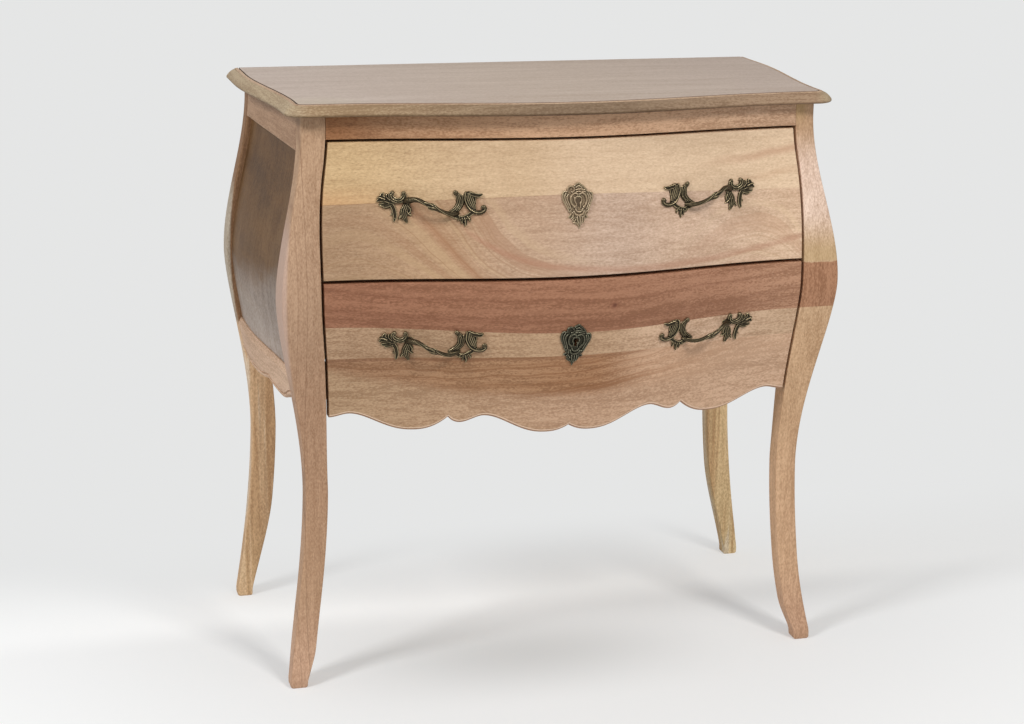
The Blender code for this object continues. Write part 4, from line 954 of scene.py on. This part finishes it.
# Moulding section in millimetres: outward, and down from the top
MOULDING = (
    (0.3, 6.0), (1.4, 5.8), (1.45, 1.0), (1.8, 0.6), (2.6, 0.5), (4.6, 0.6), (6.2, 1.0), (6.8, 1.9),
    (7.6, 2.15), (9.2, 2.7), (11.4, 3.8), (13.4, 5.1), (15.4, 6.8), (17.2, 8.6), (18.8, 10.4), (19.9, 12.0),
    (20.4, 13.4), (20.45, 14.6), (20.0, 15.7), (19.0, 16.6), (17.6, 17.2), (16.4, 17.5), (0.3, 17.5),
)
# Edge of the field in millimetres: inward, and down from the top
FIELD = ((0.0, 17.5), (0.0, 1.0), (0.1, 0.45), (0.4, 0.12), (1.0, 0.0), (8.0, 0.0))
MITRE_GAP = 0.0001


def top_front(x):
    return TOP_FRONT_DEPTH + TOP_BOW * bow_share(x)


def top_side(depth):
    run_back = 1.0 - depth / TOP_FRONT_DEPTH - TOP_SPREAD_START_SHARE
    return TOP_HALF_WIDTH + TOP_SPREAD * ease(run_back / TOP_SPREAD_RUN_SHARE)


def half_top_path():
    """The field's edge, from the middle of the front round the right corner to the back."""
    radius = TOP_CORNER_RADIUS
    front_end = TOP_HALF_WIDTH - radius
    side_start = top_front(front_end) - radius
    path = [(x, top_front(x)) for x in levels(0.0, front_end, TOP_STEPS)]
    for turn in levels(0.0, math.pi / 2, CORNER_STEPS)[1:-1]:
        path.append((front_end + radius * math.sin(turn), side_start + radius * math.cos(turn)))
    return path + [(top_side(depth), depth) for depth in levels(side_start, 0.0, TOP_STEPS)]


def path_normals(path):
    normals = []
    for before, after in zip(path, path[2:]):
        run = (Vector(after) - Vector(before)).normalized()
        normals.append(Vector((-run.y, run.x)))
    return [Vector((0.0, 1.0)), *normals, Vector((1.0, 0.0))]


def moulding_ring(point, normal):
    ring = []
    for out, down in MOULDING:
        x, depth = Vector(point) + normal * out * MM
        ring.append(at(x, max(depth, 0.0), TOP_HEIGHT - down * MM))
    return ring


def make_top():
    half = half_top_path()
    normals = path_normals(half)
    mitre = TOP_STEPS + CORNER_STEPS // 2
    rings = [moulding_ring(point, normal) for point, normal in zip(half, normals)]

    def mitre_ring(toward):
        """The ring at the mitre, moved a hair gap towards a point of the path."""
        step = (Vector(half[toward]) - Vector(half[mitre])).normalized() * MITRE_GAP
        return moulding_ring(Vector(half[mitre]) + step, normals[mitre])

    right_front = rings[:mitre] + [mitre_ring(mitre - 1)]
    right_side = [mitre_ring(mitre + 1)] + rings[mitre + 1:]
    front = [mirrored(ring, -1) for ring in reversed(right_front[1:])] + right_front
    add_piece("top_moulding_front", loft(front), "case", "front_moulding", "moulding_wood")
    for side_name, side in SIDES:
        mesh = loft([mirrored(ring, side) for ring in right_side])
        add_piece(f"top_moulding_{side_name}", mesh, "case", "side_moulding", "moulding_wood")

    rings = []
    for inset, down in FIELD:
        right = []
        for (x, depth), normal in zip(half, normals):
            edge = min(depth, inset * MM) if normal is normals[-1] else depth - normal.y * inset * MM
            right.append(at(x - normal.x * inset * MM, max(edge, inset * MM), TOP_HEIGHT - down * MM))
        rings.append(mirrored(reversed(right[1:]), -1) + right)
    add_piece("top_panel", loft(rings), "case", "top", "top_wood")


# Cast hardware

STROKE_SHARE = 1.22
RIDGE_RADIUS = 0.85
KEY_THICKNESS = 1.5
# Strokes of the left pull, in millimetres from the middle between its screws: how many fine
# ridges, the lift of the middle, the half height, and points as (across, up, half width)
PULL_STROKES = (
    # leafy head at the outer end
    (2, 1.2, 2.2, (-79.6, 6.6, 1.0), (-74.6, 8.8, 2.8), (-67.4, 8.2, 3.6), (-60.0, 6.4, 3.4)),
    (2, 1.4, 2.2, (-70.4, 18.6, 1.2), (-72.8, 14.0, 3.0), (-69.0, 9.8, 3.2), (-62.0, 6.6, 3.0)),
    (1, 1.8, 2.4, (-65.6, 17.0, 1.2), (-65.6, 12.8, 2.2), (-61.4, 8.4, 2.4)),
    (2, 1.2, 2.0, (-76.2, 1.8, 1.2), (-71.0, 1.4, 2.6), (-64.0, 2.2, 3.2)),
    (1, 1.2, 1.8, (-71.0, -2.8, 0.8), (-66.0, -2.2, 2.0), (-59.6, -0.2, 2.4)),
    (1, 2.0, 2.4, (-79.0, 12.2, 0.9), (-74.4, 11.8, 1.8), (-68.0, 9.4, 2.0)),
    # double horn on its bar
    (3, 1.8, 2.2, (-57.0, 19.0, 2.8), (-59.3, 15.2, 3.5), (-57.0, 10.2, 3.8), (-50.2, 7.2, 3.6),
     (-43.8, 8.4, 3.6), (-40.0, 12.6, 3.6), (-40.8, 18.4, 2.8)),
    (0, 2.6, 2.6, (-57.0, 19.4, 2.2), (-56.6, 19.0, 2.2)),
    (0, 2.6, 2.6, (-41.0, 18.8, 2.4), (-40.8, 18.2, 2.4)),
    (2, 1.4, 2.0, (-63.0, 5.0, 3.0), (-53.2, 6.2, 2.6), (-42.5, 6.8, 2.8), (-33.0, 7.4, 4.2)),
    (0, 2.0, 2.8, (-48.6, 6.6, 2.6), (-47.4, 6.4, 2.6)),
    # left leg
    (2, 1.2, 2.0, (-62.0, 4.0, 3.2), (-56.6, -1.8, 3.2), (-54.4, -8.8, 3.0), (-53.6, -16.2, 2.6),
     (-54.9, -22.8, 1.2)),
    (0, 1.2, 1.6, (-56.0, -10.0, 1.8), (-59.4, -13.4, 0.9)),
    # right leg, a mass of leaves
    (4, 1.2, 2.2, (-34.6, 5.6, 4.0), (-37.4, -1.6, 4.6), (-39.8, -8.4, 5.6), (-40.2, -15.0, 4.8),
     (-37.8, -20.6, 2.8), (-36.0, -24.6, 1.2)),
    (1, 1.4, 1.8, (-33.4, -1.6, 2.2), (-31.0, -5.4, 2.0), (-31.2, -10.2, 1.0)),
    (1, 1.4, 1.8, (-36.4, -8.4, 2.4), (-32.6, -12.4, 1.9), (-29.4, -13.8, 0.9)),
    (1, 1.4, 1.8, (-41.6, -12.6, 2.6), (-45.4, -15.6, 2.0), (-47.8, -19.6, 0.9)),
    # left crescent of the inner plate
    (4, 1.2, 2.2, (34.8, 18.4, 2.8), (38.8, 14.8, 3.4), (41.4, 8.6, 4.8), (41.4, 1.6, 5.0),
     (36.6, -5.2, 4.4), (31.0, -9.4, 4.0), (25.4, -12.0, 3.4)),
    (0, 2.4, 2.8, (34.9, 18.8, 3.0), (35.4, 18.2, 3.0)),
    (0, 3.2, 1.4, (44.6, 15.0, 0.9), (45.6, 8.0, 1.2), (44.6, 1.0, 1.1), (40.2, -5.4, 0.9)),
    # right crescent with its curl
    (1, 1.8, 2.2, (50.0, 18.8, 1.6), (48.9, 12.4, 1.7), (49.4, 6.4, 1.8), (54.0, -3.2, 2.2),
     (60.6, -8.6, 2.8), (66.6, -10.6, 2.8), (72.6, -10.2, 2.9), (77.4, -7.2, 2.6), (77.9, -3.4, 2.4)),
    (0, 2.2, 2.8, (76.6, -3.0, 3.2), (76.0, -3.2, 3.2)),
    # fan and its arm
    (4, 1.2, 2.0, (54.6, 17.2, 3.4), (56.0, 10.4, 5.0), (59.0, 2.4, 4.8), (62.4, -5.0, 2.6)),
    (2, 1.0, 1.8, (58.6, 17.4, 2.6), (61.2, 10.6, 3.6), (62.4, 3.4, 2.6)),
    (2, 1.4, 2.0, (55.2, 17.4, 2.6), (62.6, 15.2, 2.7), (69.0, 14.2, 2.4), (73.4, 15.6, 1.5)),
    # foot
    (2, 1.2, 2.0, (28.0, -12.8, 3.2), (37.0, -16.8, 2.9), (44.8, -18.8, 3.0), (52.2, -15.6, 2.7),
     (59.4, -10.6, 2.8)),
    (1, 1.2, 1.8, (40.6, -17.0, 2.2), (39.4, -20.2, 1.9), (38.7, -22.0, 1.0)),
    (1, 1.4, 1.9, (44.8, -18.8, 2.6), (44.6, -23.6, 2.2), (44.2, -26.6, 1.0)),
    (1, 1.2, 1.9, (48.0, -18.6, 2.6), (49.6, -24.6, 2.4), (48.8, -30.0, 1.0)),
    (1, 1.2, 1.8, (52.4, -16.4, 2.4), (55.2, -19.8, 2.1), (56.0, -23.4, 1.0)),
)
# Grip, and the knot round its middle, in millimetres: across, up, radius, height over the wood
GRIP = (
    (-38.0, 6.6, 4.6, 1.8), (-33.4, 7.8, 4.8, 6.8), (-26.4, 8.8, 4.0, 13.4), (-18.9, 7.4, 3.2, 17.6),
    (-10.4, 3.0, 2.9, 20.4), (-3.4, -0.4, 3.4, 21.6), (2.6, -2.4, 3.5, 21.6), (9.8, -6.3, 2.8, 20.6),
    (18.1, -10.3, 2.7, 17.4), (26.4, -12.4, 2.9, 12.4), (33.5, -12.4, 3.3, 6.6), (38.3, -11.4, 3.0, 1.8),
)
KNOT = (
    ((-11.0, 4.6, 0.9, 22.6), (-4.6, 2.8, 1.6, 24.2), (1.0, -0.4, 1.3, 24.6)),
    ((-7.0, -1.2, 0.8, 23.6), (0.0, -3.0, 1.5, 24.6), (8.4, -5.2, 0.9, 22.6)),
    ((-3.0, 3.6, 0.8, 22.4), (2.4, 1.4, 1.4, 23.6), (7.6, -2.4, 0.8, 22.2)),
    ((-6.0, -4.0, 0.8, 22.0), (-0.6, -5.6, 1.3, 22.8), (4.6, -7.2, 0.8, 22.0)),
)
# Keyhole plate in millimetres from its keyhole: its outline, and the strokes on it
KEY_OUTLINE = (
    (0.0, 26.6), (4.6, 24.8), (10.0, 20.6), (14.4, 16.2), (15.0, 12.4), (18.8, 13.0), (22.4, 9.2),
    (23.2, 4.6), (21.2, -2.6), (18.2, -8.8), (15.6, -15.0), (14.6, -18.8), (11.2, -21.8), (14.6, -25.4),
    (9.2, -27.2), (7.6, -32.8), (3.2, -35.4), (0.4, -41.8), (-3.2, -36.2), (-8.2, -33.8), (-11.0, -31.0),
    (-9.6, -27.2), (-17.0, -24.6), (-13.2, -19.6), (-15.6, -15.6), (-19.6, -8.6), (-23.2, -1.0),
    (-24.6, 5.2), (-24.0, 10.6), (-20.6, 14.6), (-16.6, 14.2), (-15.8, 19.6), (-10.8, 22.4), (-5.6, 21.6),
    (-3.4, 24.6),
)
KEY_STROKES = (
    # curl and arch of the crown
    (0, 1.8, 1.5, (-15.6, 13.6, 0.9), (-15.2, 18.6, 1.3), (-10.8, 21.2, 1.4), (-6.2, 18.8, 1.3),
     (-6.0, 14.4, 1.1), (-9.4, 12.8, 0.9)),
    (0, 1.8, 1.5, (-5.0, 22.0, 1.0), (0.3, 25.4, 1.4), (5.2, 22.6, 1.3), (10.2, 18.6, 1.2),
     (13.6, 13.8, 1.0)),
    (0, 1.8, 1.3, (-2.8, 19.6, 0.9), (1.6, 21.2, 1.1), (6.2, 18.8, 0.9)),
    (0, 2.0, 1.4, (-3.4, 15.8, 1.0), (3.6, 16.6, 1.1), (10.6, 15.2, 1.0)),
    (0, 1.8, 1.2, (-3.0, 12.8, 0.8), (4.0, 13.2, 1.0), (11.6, 12.0, 0.8)),
    # left wing
    (0, 1.6, 1.5, (-17.6, 13.2, 0.9), (-21.2, 13.4, 1.2), (-23.4, 9.6, 1.3), (-23.7, 4.6, 1.3),
     (-21.6, -2.0, 1.3), (-18.0, -8.8, 1.2), (-14.6, -16.4, 0.9)),
    (0, 1.8, 1.4, (-18.4, 11.2, 0.8), (-20.4, 7.4, 1.1), (-20.2, 2.4, 1.1), (-17.6, -4.4, 1.1),
     (-14.6, -11.8, 0.8)),
    (0, 1.8, 1.4, (-15.2, 9.4, 0.8), (-17.0, 5.6, 1.1), (-16.4, 0.2, 1.1), (-13.6, -6.4, 1.0),
     (-11.4, -13.6, 0.8)),
    # right wing
    (0, 1.6, 1.5, (15.8, 11.8, 0.9), (19.4, 11.8, 1.2), (21.9, 8.4, 1.2), (21.8, 3.8, 1.3),
     (19.4, -3.4, 1.2), (16.6, -9.8, 1.1), (14.0, -16.8, 0.9)),
    (0, 1.8, 1.4, (17.6, 9.4, 0.8), (18.9, 4.8, 1.1), (17.0, -1.4, 1.1), (14.4, -7.6, 1.0),
     (12.4, -13.2, 0.8)),
    (0, 1.8, 1.3, (14.6, 9.0, 0.8), (16.0, 4.4, 1.0), (14.8, -1.8, 0.9)),
    # heart ring with its ball ends
    (0, 2.2, 1.8, (-0.4, 9.2, 1.0), (-5.4, 10.6, 1.3), (-10.0, 7.4, 1.4), (-11.8, 1.0, 1.4),
     (-10.2, -5.0, 1.4), (-6.6, -8.6, 1.3)),
    (0, 2.2, 1.9, (-6.4, -8.8, 1.9), (-6.0, -9.0, 1.9)),
    (0, 2.2, 1.8, (1.8, 9.2, 1.0), (6.6, 10.6, 1.3), (11.2, 7.4, 1.4), (12.9, 1.2, 1.4), (11.8, -4.8, 1.4),
     (8.8, -9.0, 1.3)),
    (0, 2.2, 1.9, (8.8, -9.4, 1.9), (8.4, -9.6, 1.9)),
    # rim of the keyhole
    (0, 1.8, 1.2, (-3.2, -10.4, 0.9), (-3.4, -5.0, 1.0), (-5.2, -1.0, 1.0), (-4.6, 4.0, 1.0),
     (0.0, 6.0, 1.0), (4.6, 4.0, 1.0), (5.2, -1.0, 1.0), (3.4, -5.0, 1.0), (3.2, -10.4, 0.9)),
    # cup
    (0, 1.8, 1.4, (-4.6, -12.0, 0.9), (-3.2, -15.4, 1.1), (0.7, -17.2, 1.1), (4.8, -15.4, 1.1),
     (6.6, -12.0, 0.9)),
    (0, 2.0, 1.6, (-7.2, -15.6, 1.0), (-5.0, -20.0, 1.4), (0.5, -22.2, 1.5), (6.0, -20.0, 1.4),
     (8.4, -15.6, 1.0)),
    # leaves under the wings
    (0, 1.6, 1.3, (-12.2, -15.0, 0.9), (-12.0, -19.8, 1.2), (-15.6, -24.0, 0.9)),
    (0, 1.6, 1.3, (-9.4, -17.6, 0.8), (-8.6, -22.0, 1.2), (-11.4, -26.0, 0.9)),
    (0, 1.6, 1.3, (11.4, -16.2, 0.9), (10.2, -20.4, 1.2), (13.2, -24.8, 0.9)),
    (0, 1.6, 1.3, (8.4, -20.6, 0.8), (7.6, -24.0, 1.1), (8.2, -28.0, 0.8)),
    # tail
    (0, 1.6, 1.3, (-7.6, -25.4, 0.9), (-9.4, -28.0, 1.1), (-7.4, -30.4, 1.0), (-5.2, -28.0, 0.9)),
    (0, 1.6, 1.3, (-8.6, -32.4, 0.8), (-4.4, -33.2, 1.0), (-1.4, -36.6, 1.0), (0.2, -41.0, 0.7)),
    (0, 1.8, 1.4, (-2.6, -24.8, 0.9), (-2.2, -29.4, 1.1), (-0.4, -35.0, 0.9)),
    (0, 1.8, 1.4, (1.4, -24.8, 0.9), (1.8, -30.0, 1.1), (1.2, -36.4, 0.8)),
    (0, 1.8, 1.4, (5.0, -24.4, 0.9), (5.2, -29.0, 1.1), (4.0, -34.0, 0.8)),
)
# Head of a screw in millimetres: back from the wood, and its radius there
SCREW_HEAD = ((0.0, 2.2), (0.0, 3.6), (0.3, 4.0), (1.3, 3.9), (2.0, 3.2), (2.4, 2.0), (2.5, 0.9))


def smooth_path(points, steps=7):
    """Points of a smooth curve through the given ones, each a tuple of numbers."""
    ends = [points[0], *points, points[-1]]
    made = []
    for index in range(len(points) - 1):
        for share in levels(0.0, 1.0, steps)[:-1]:
            row = []
            for a, b, c, d in zip(*ends[index:index + 4]):
                row.append(0.5 * (2 * b + (c - a) * share + (2 * a - 5 * b + 4 * c - d) * share ** 2
                                  + (3 * b - a - 3 * c + d) * share ** 3))
            made.append(row)
    return made + [points[-1]]


def path_run(spots, index):
    """The direction of a path at one of its points."""
    return (spots[min(index + 1, len(spots) - 1)] - spots[max(index - 1, 0)]).normalized()


def add_tube(work, rows, sides=TUBE_SIDES):
    """A closed tube with rounded ends: each row is its centre, half width across and half height."""
    centres = [Vector(row[0]) for row in rows]
    rings = []
    last = len(rows) - 1
    for index, (_, half_width, half_height) in enumerate(rows):
        run = path_run(centres, index)
        across = run.cross(Vector((0.0, 1.0, 0.0))).normalized()
        over = across.cross(run)
        spots = [(0.0, 1.0)]
        if index == last:
            spots = [(0.0, 1.0), (0.55, 0.8), (0.9, 0.4)]
        elif index == 0:
            spots = [(-0.9, 0.4), (-0.55, 0.8), (0.0, 1.0)]
        for ahead, scale in spots:
            centre = centres[index] + run * ahead * half_width
            wide = across * half_width * scale
            high = over * half_height * scale
            rings.append([work.verts.new(centre + wide * cos + high * sin) for cos, sin in circle(sides)])
    skin(work, rings)
    work.faces.new(rings[0])
    work.faces.new(list(reversed(rings[-1])))


def add_stroke(work, ridges, lift, height, *points):
    """A flat-lying stroke, given as (across, up, half width), with fine ridges along it."""
    path = smooth_path(points)
    spots = [Vector((u * MM, -lift * MM, w * MM)) for u, w, _ in path]
    widths = [half_width * STROKE_SHARE * MM for _, _, half_width in path]
    add_tube(work, [(spot, half_width, height * MM) for spot, half_width in zip(spots, widths)])
    shares = levels(-0.66, 0.66, ridges - 1) if ridges > 1 else [0.0] * ridges
    for share in shares:
        rows = []
        over = Vector((0.0, -height * MM * math.sqrt(1.0 - share * share), 0.0))
        for index, (spot, half_width) in enumerate(zip(spots, widths)):
            across = path_run(spots, index).cross(Vector((0.0, 1.0, 0.0)))
            radius = min(RIDGE_RADIUS * MM, 0.45 * half_width)
            rows.append((spot + across * share * half_width + over, radius, radius))
        add_tube(work, rows, RIDGE_SIDES)


def casting(strokes, tubes, outline, voxel):
    """Strokes, tubes and a flat plate melted into one casting, whose face is towards -y."""
    work = bmesh.new()
    for stroke in strokes:
        add_stroke(work, *stroke)
    for points in tubes:
        add_tube(work, [((u * MM, -height * MM, w * MM), radius * MM, radius * MM)
                        for u, w, radius, height in smooth_path(points)])
    if outline:
        faces = (-KEY_THICKNESS * MM, 0.0)
        rings = [[work.verts.new((u * MM, y, w * MM)) for u, w in outline] for y in faces]
        skin(work, rings)
        for ring in rings:
            work.faces.new(ring)
    return evaluated_mesh(
        finished(work), ("REMESH", {"mode": "VOXEL", "voxel_size": voxel * MM}),
        ("SMOOTH", {"factor": 0.5, "iterations": 1}))


def grip_ridges():
    """Three fine ridges that wind round the grip."""
    path = smooth_path(GRIP, 5)
    tubes = []
    for third in range(3):
        phase = 0.4 + third * 2.0 * math.pi / 3.0
        ridge = []
        for index in range(4, len(path) - 4, 2):
            u, w, radius, height = path[index]
            turn = phase + 1.6 * math.pi * index / len(path)
            ridge.append((
                u + radius * 0.3 * math.cos(turn), w + radius * 0.92 * math.cos(turn), RIDGE_RADIUS,
                height + radius * 0.92 * math.sin(turn)))
        tubes.append(ridge)
    return tubes


def front_seat(x, z):
    """Matrix of a seat on the drawer fronts: x along the wood, y into it, z up along it."""
    step = 1.0 * MM
    across = (front_depth(x + step, z) - front_depth(x - step, z)) / (2 * step)
    upward = (front_depth(x, z + step) - front_depth(x, z - step)) / (2 * step)
    x_axis = Vector((1.0, -across, 0.0)).normalized()
    y_axis = -x_axis.cross(Vector((0.0, -upward, 1.0))).normalized()
    seat = Matrix((x_axis, y_axis, x_axis.cross(y_axis))).transposed().to_4x4()
    seat.translation = Vector(at(x, front_depth(x, z), z))
    return seat


def wood_rise(seat, across, up):
    """How far the wood stands above the seat's plane at a place on it."""
    point = seat @ Vector((across, 0.0, up))
    wood = Vector(at(point.x, front_depth(point.x, point.z), point.z))
    return (wood - point).dot(-seat.col[1].xyz)


def seated(mesh, seat):
    """A copy of a flat casting on its seat, bent to the curved wood under it."""
    bent = mesh.copy()
    for vertex in bent.vertices:
        vertex.co.y -= wood_rise(seat, vertex.co.x, vertex.co.z)
    bent.transform(seat)
    return bent


def screw_mesh(seat, across, up):
    """A round-headed screw from inside the drawer front into the casting."""
    face = -wood_rise(seat, across, up)
    back = face
    inward = seat.col[1].xyz
    for _ in range(6):
        point = seat @ Vector((across, back, up))
        back += (FRONT_THICKNESS - front_depth(point.x, point.z) + BACK_Y - point.y) * inward.y
    profile = [(face - 1.2 * MM, 1.5), (face - 0.8 * MM, 1.9), (back - 0.1 * MM, 1.9)]
    profile += [(back + rise * MM, radius) for rise, radius in SCREW_HEAD]
    rows = []
    for y, radius in profile:
        size = radius * MM
        rows.append([(across + size * cos, y, up + size * sin) for cos, sin in circle(SCREW_SIDES)])
    mesh = loft(rows)
    mesh.transform(seat)
    return mesh


def make_hardware():
    left_pull = casting(PULL_STROKES, [GRIP, *KNOT, *grip_ridges()], (), 0.45)
    right_pull = left_pull.copy()
    right_pull.transform(Matrix.Scale(-1.0, 4, (1.0, 0.0, 0.0)))
    right_pull.flip_normals()
    pulls = {"left": left_pull, "right": right_pull}
    key_plate = casting(KEY_STROKES, (), KEY_OUTLINE, 0.4)
    # The upper keyhole is shallow, the lower one goes through
    for drawer, hole_end in (("upper", -0.9 * MM), ("lower", 10.0 * MM)):
        body = f"{drawer}_drawer"
        for side_name, side in SIDES:
            seat = front_seat(side * PULL_PLACE, PULL_HEIGHTS[drawer])
            node = f"{body}_{side_name}_pull"
            add_piece(node, seated(pulls[side_name], seat), body, "pull", "aged_brass")
            for place_name, place in (("outer", side), ("inner", -side)):
                screw = screw_mesh(seat, place * SCREW_PLACE[0], SCREW_PLACE[1])
                add_piece(f"{node}_{place_name}_screw", screw, body, "steel", "lock_steel")
        turned = Matrix.Rotation(KEY_TURNS[drawer], 4, "Y")
        seat = front_seat(KEY_PLACES[drawer], KEY_HEIGHTS[drawer]) @ turned
        plate = cut_mesh(key_plate.copy(), keyhole_prism(BRASS_KEYHOLE, -10.0 * MM, hole_end))
        add_piece(f"{body}_key_plate", seated(plate, seat), body, f"{drawer}_key", "aged_brass")


# CAD nodes that stay

LONG_BOARDS = (
    "drawer_divider_rail", "bottom_front_rail", "back_top_rail", "back_middle_rail", "back_bottom_rail",
    "upper_drawer_back", "lower_drawer_back")
SHEETS = ("back_panel", "upper_drawer_bottom", "lower_drawer_bottom")


def dress_nodes():
    for name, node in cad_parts.items():
        paint = "inner_deep"
        if name in LONG_BOARDS:
            paint = "inner_long"
        elif name in SHEETS:
            paint = "plywood"
        elif name.startswith("lock_"):
            paint = "steel"
        node.data.materials.clear()
        node.data.materials.append(paints[paint])


# Floor, light and camera

# Linear colours: the background, and glows painted on the paper: an even one further off, painted shade
# close to the chest, painted light under it, and a painted shadow in front of it
BACKGROUND = (0.785, 0.790, 0.788)
NEAR_GLOW = (0.99, 0.99, 0.985)
CLOSE_PAINTED_SHADE = (0.78, 0.785, 0.79)
UNDER_PAINTED_LIGHT = (1.14, 1.14, 1.13)
SHADE_GLOW = (0.22, 0.23, 0.235)
PAPER = (0.88, 0.882, 0.878)
# Share of the painted light and shade in what the camera sees of the paper near the chest
PAINTED_LIGHT_SHARE = 0.32
FLOOR_REACH = 40.0
AMBIENT = 0.42
AMBIENT_COLOUR = (0.97, 0.985, 1.0)
# Two soft boxes in front, as the shadows of the legs show: place, width, power, colour
LAMPS = {
    "right_box": ((1.25, -3.25, 3.70), 1.0, 98.0, (1.0, 0.985, 0.96)),
    "left_box": ((-2.80, -1.35, 2.90), 0.8, 68.0, (0.97, 0.985, 1.0)),
}
LAMP_TARGET = (0.0, 0.0, 0.45)
# The camera as fitted to the photograph
CAMERA_PLACE = (-0.8923, -3.1109, 1.3476)
CAMERA_YAW = math.radians(15.41)
CAMERA_PITCH = math.radians(15.54)
CAMERA_ROLL = math.radians(0.79)
FOCAL_PIXELS = 2084.3
PHOTO_WIDTH_PIXELS = 1024.0
SENSOR_WIDTH_MM = 36.0


def floor_paint():
    """Pale paper near the chest, which keeps its shadow mixed with glows that paint shade, light and a
    shadow on it, and the plain background further off.
    """
    paint = Paint("floor_paper")
    paint.fill(paint.shader, {"Base Color": PAPER, "Roughness": 0.95, "Specular IOR Level": 0.1})
    away = paint.distance((0.0, 0.0, 0.0))
    # Painted shade close to the chest, painted light under it, and a painted shadow in front of it
    near = paint.mix(paint.window(away, 0.40, 0.95), CLOSE_PAINTED_SHADE, NEAR_GLOW)
    near = paint.mix(paint.window(paint.y, 0.02, 0.13), near, UNDER_PAINTED_LIGHT)
    shade = paint.where(paint.band(paint.x, -0.05, 0.40), paint.band(paint.y, -0.13, 0.20))
    near = paint.mix(shade, near, SHADE_GLOW)
    far = paint.math("MAXIMUM", paint.window(away, 0.9, 2.6), paint.window(paint.y, 0.10, 0.50))
    seen = paint.seen_directly()
    mixed = paint.shader
    for share, colour in ((PAINTED_LIGHT_SHARE, near), (far, BACKGROUND)):
        glow = paint.node("ShaderNodeEmission", {"Color": colour})
        share = paint.math("MULTIPLY", seen, share)
        mixed = paint.node("ShaderNodeMixShader", {0: share, 1: mixed.outputs[0], 2: glow.outputs[0]})
    paint.fill(paint.tree.nodes["Material Output"], {"Surface": mixed.outputs[0]})
    return paint.material


def make_world():
    """Soft light from all round; the camera sees the plain background."""
    world = bpy.data.worlds.new("studio")
    bpy.context.scene.world = world
    sky = Nodes(world)
    light = sky.fill(sky.tree.nodes["Background"], {"Color": AMBIENT_COLOUR, "Strength": AMBIENT})
    plain = sky.node("ShaderNodeBackground", {"Color": BACKGROUND})
    mixed = sky.node(
        "ShaderNodeMixShader", {0: sky.seen_directly(), 1: light.outputs[0], 2: plain.outputs[0]})
    sky.fill(sky.tree.nodes["World Output"], {"Surface": mixed.outputs[0]})


def make_stage():
    reach = FLOOR_REACH
    corners = ((-reach, -reach, 0.0), (reach, -reach, 0.0), (reach, reach, 0.0), (-reach, reach, 0.0))
    mesh = bpy.data.meshes.new("floor")
    mesh.from_pydata(corners, [], [(0, 1, 2, 3)])
    mesh.materials.append(floor_paint())
    linked("floor", mesh)
    make_world()
    for name, (place, width, power, colour) in LAMPS.items():
        light = bpy.data.lights.new(name, "AREA")
        light.shape = "SQUARE"
        light.size = width
        light.energy = power
        light.color = colour
        lamp = linked(name, light)
        lamp.location = place
        lamp.rotation_mode = "QUATERNION"
        lamp.rotation_quaternion = (Vector(LAMP_TARGET) - Vector(place)).to_track_quat("-Z", "Y")


def make_camera():
    data = bpy.data.cameras.new("camera")
    data.sensor_width = SENSOR_WIDTH_MM
    data.sensor_fit = "HORIZONTAL"
    data.lens = SENSOR_WIDTH_MM * FOCAL_PIXELS / PHOTO_WIDTH_PIXELS
    data.clip_end = 200.0
    camera = linked("camera", data)
    turned = Matrix.Rotation(-CAMERA_YAW, 4, "Z") @ Matrix.Rotation(math.pi / 2 - CAMERA_PITCH, 4, "X")
    camera.matrix_world = Matrix.Translation(CAMERA_PLACE) @ turned @ Matrix.Rotation(CAMERA_ROLL, 4, "Z")
    bpy.context.scene.camera = camera


make_posts()
make_sides()
make_fronts()
make_top()
make_hardware()
dress_nodes()
make_stage()
make_camera()
bpy.context.scene.view_settings.view_transform = "Standard"
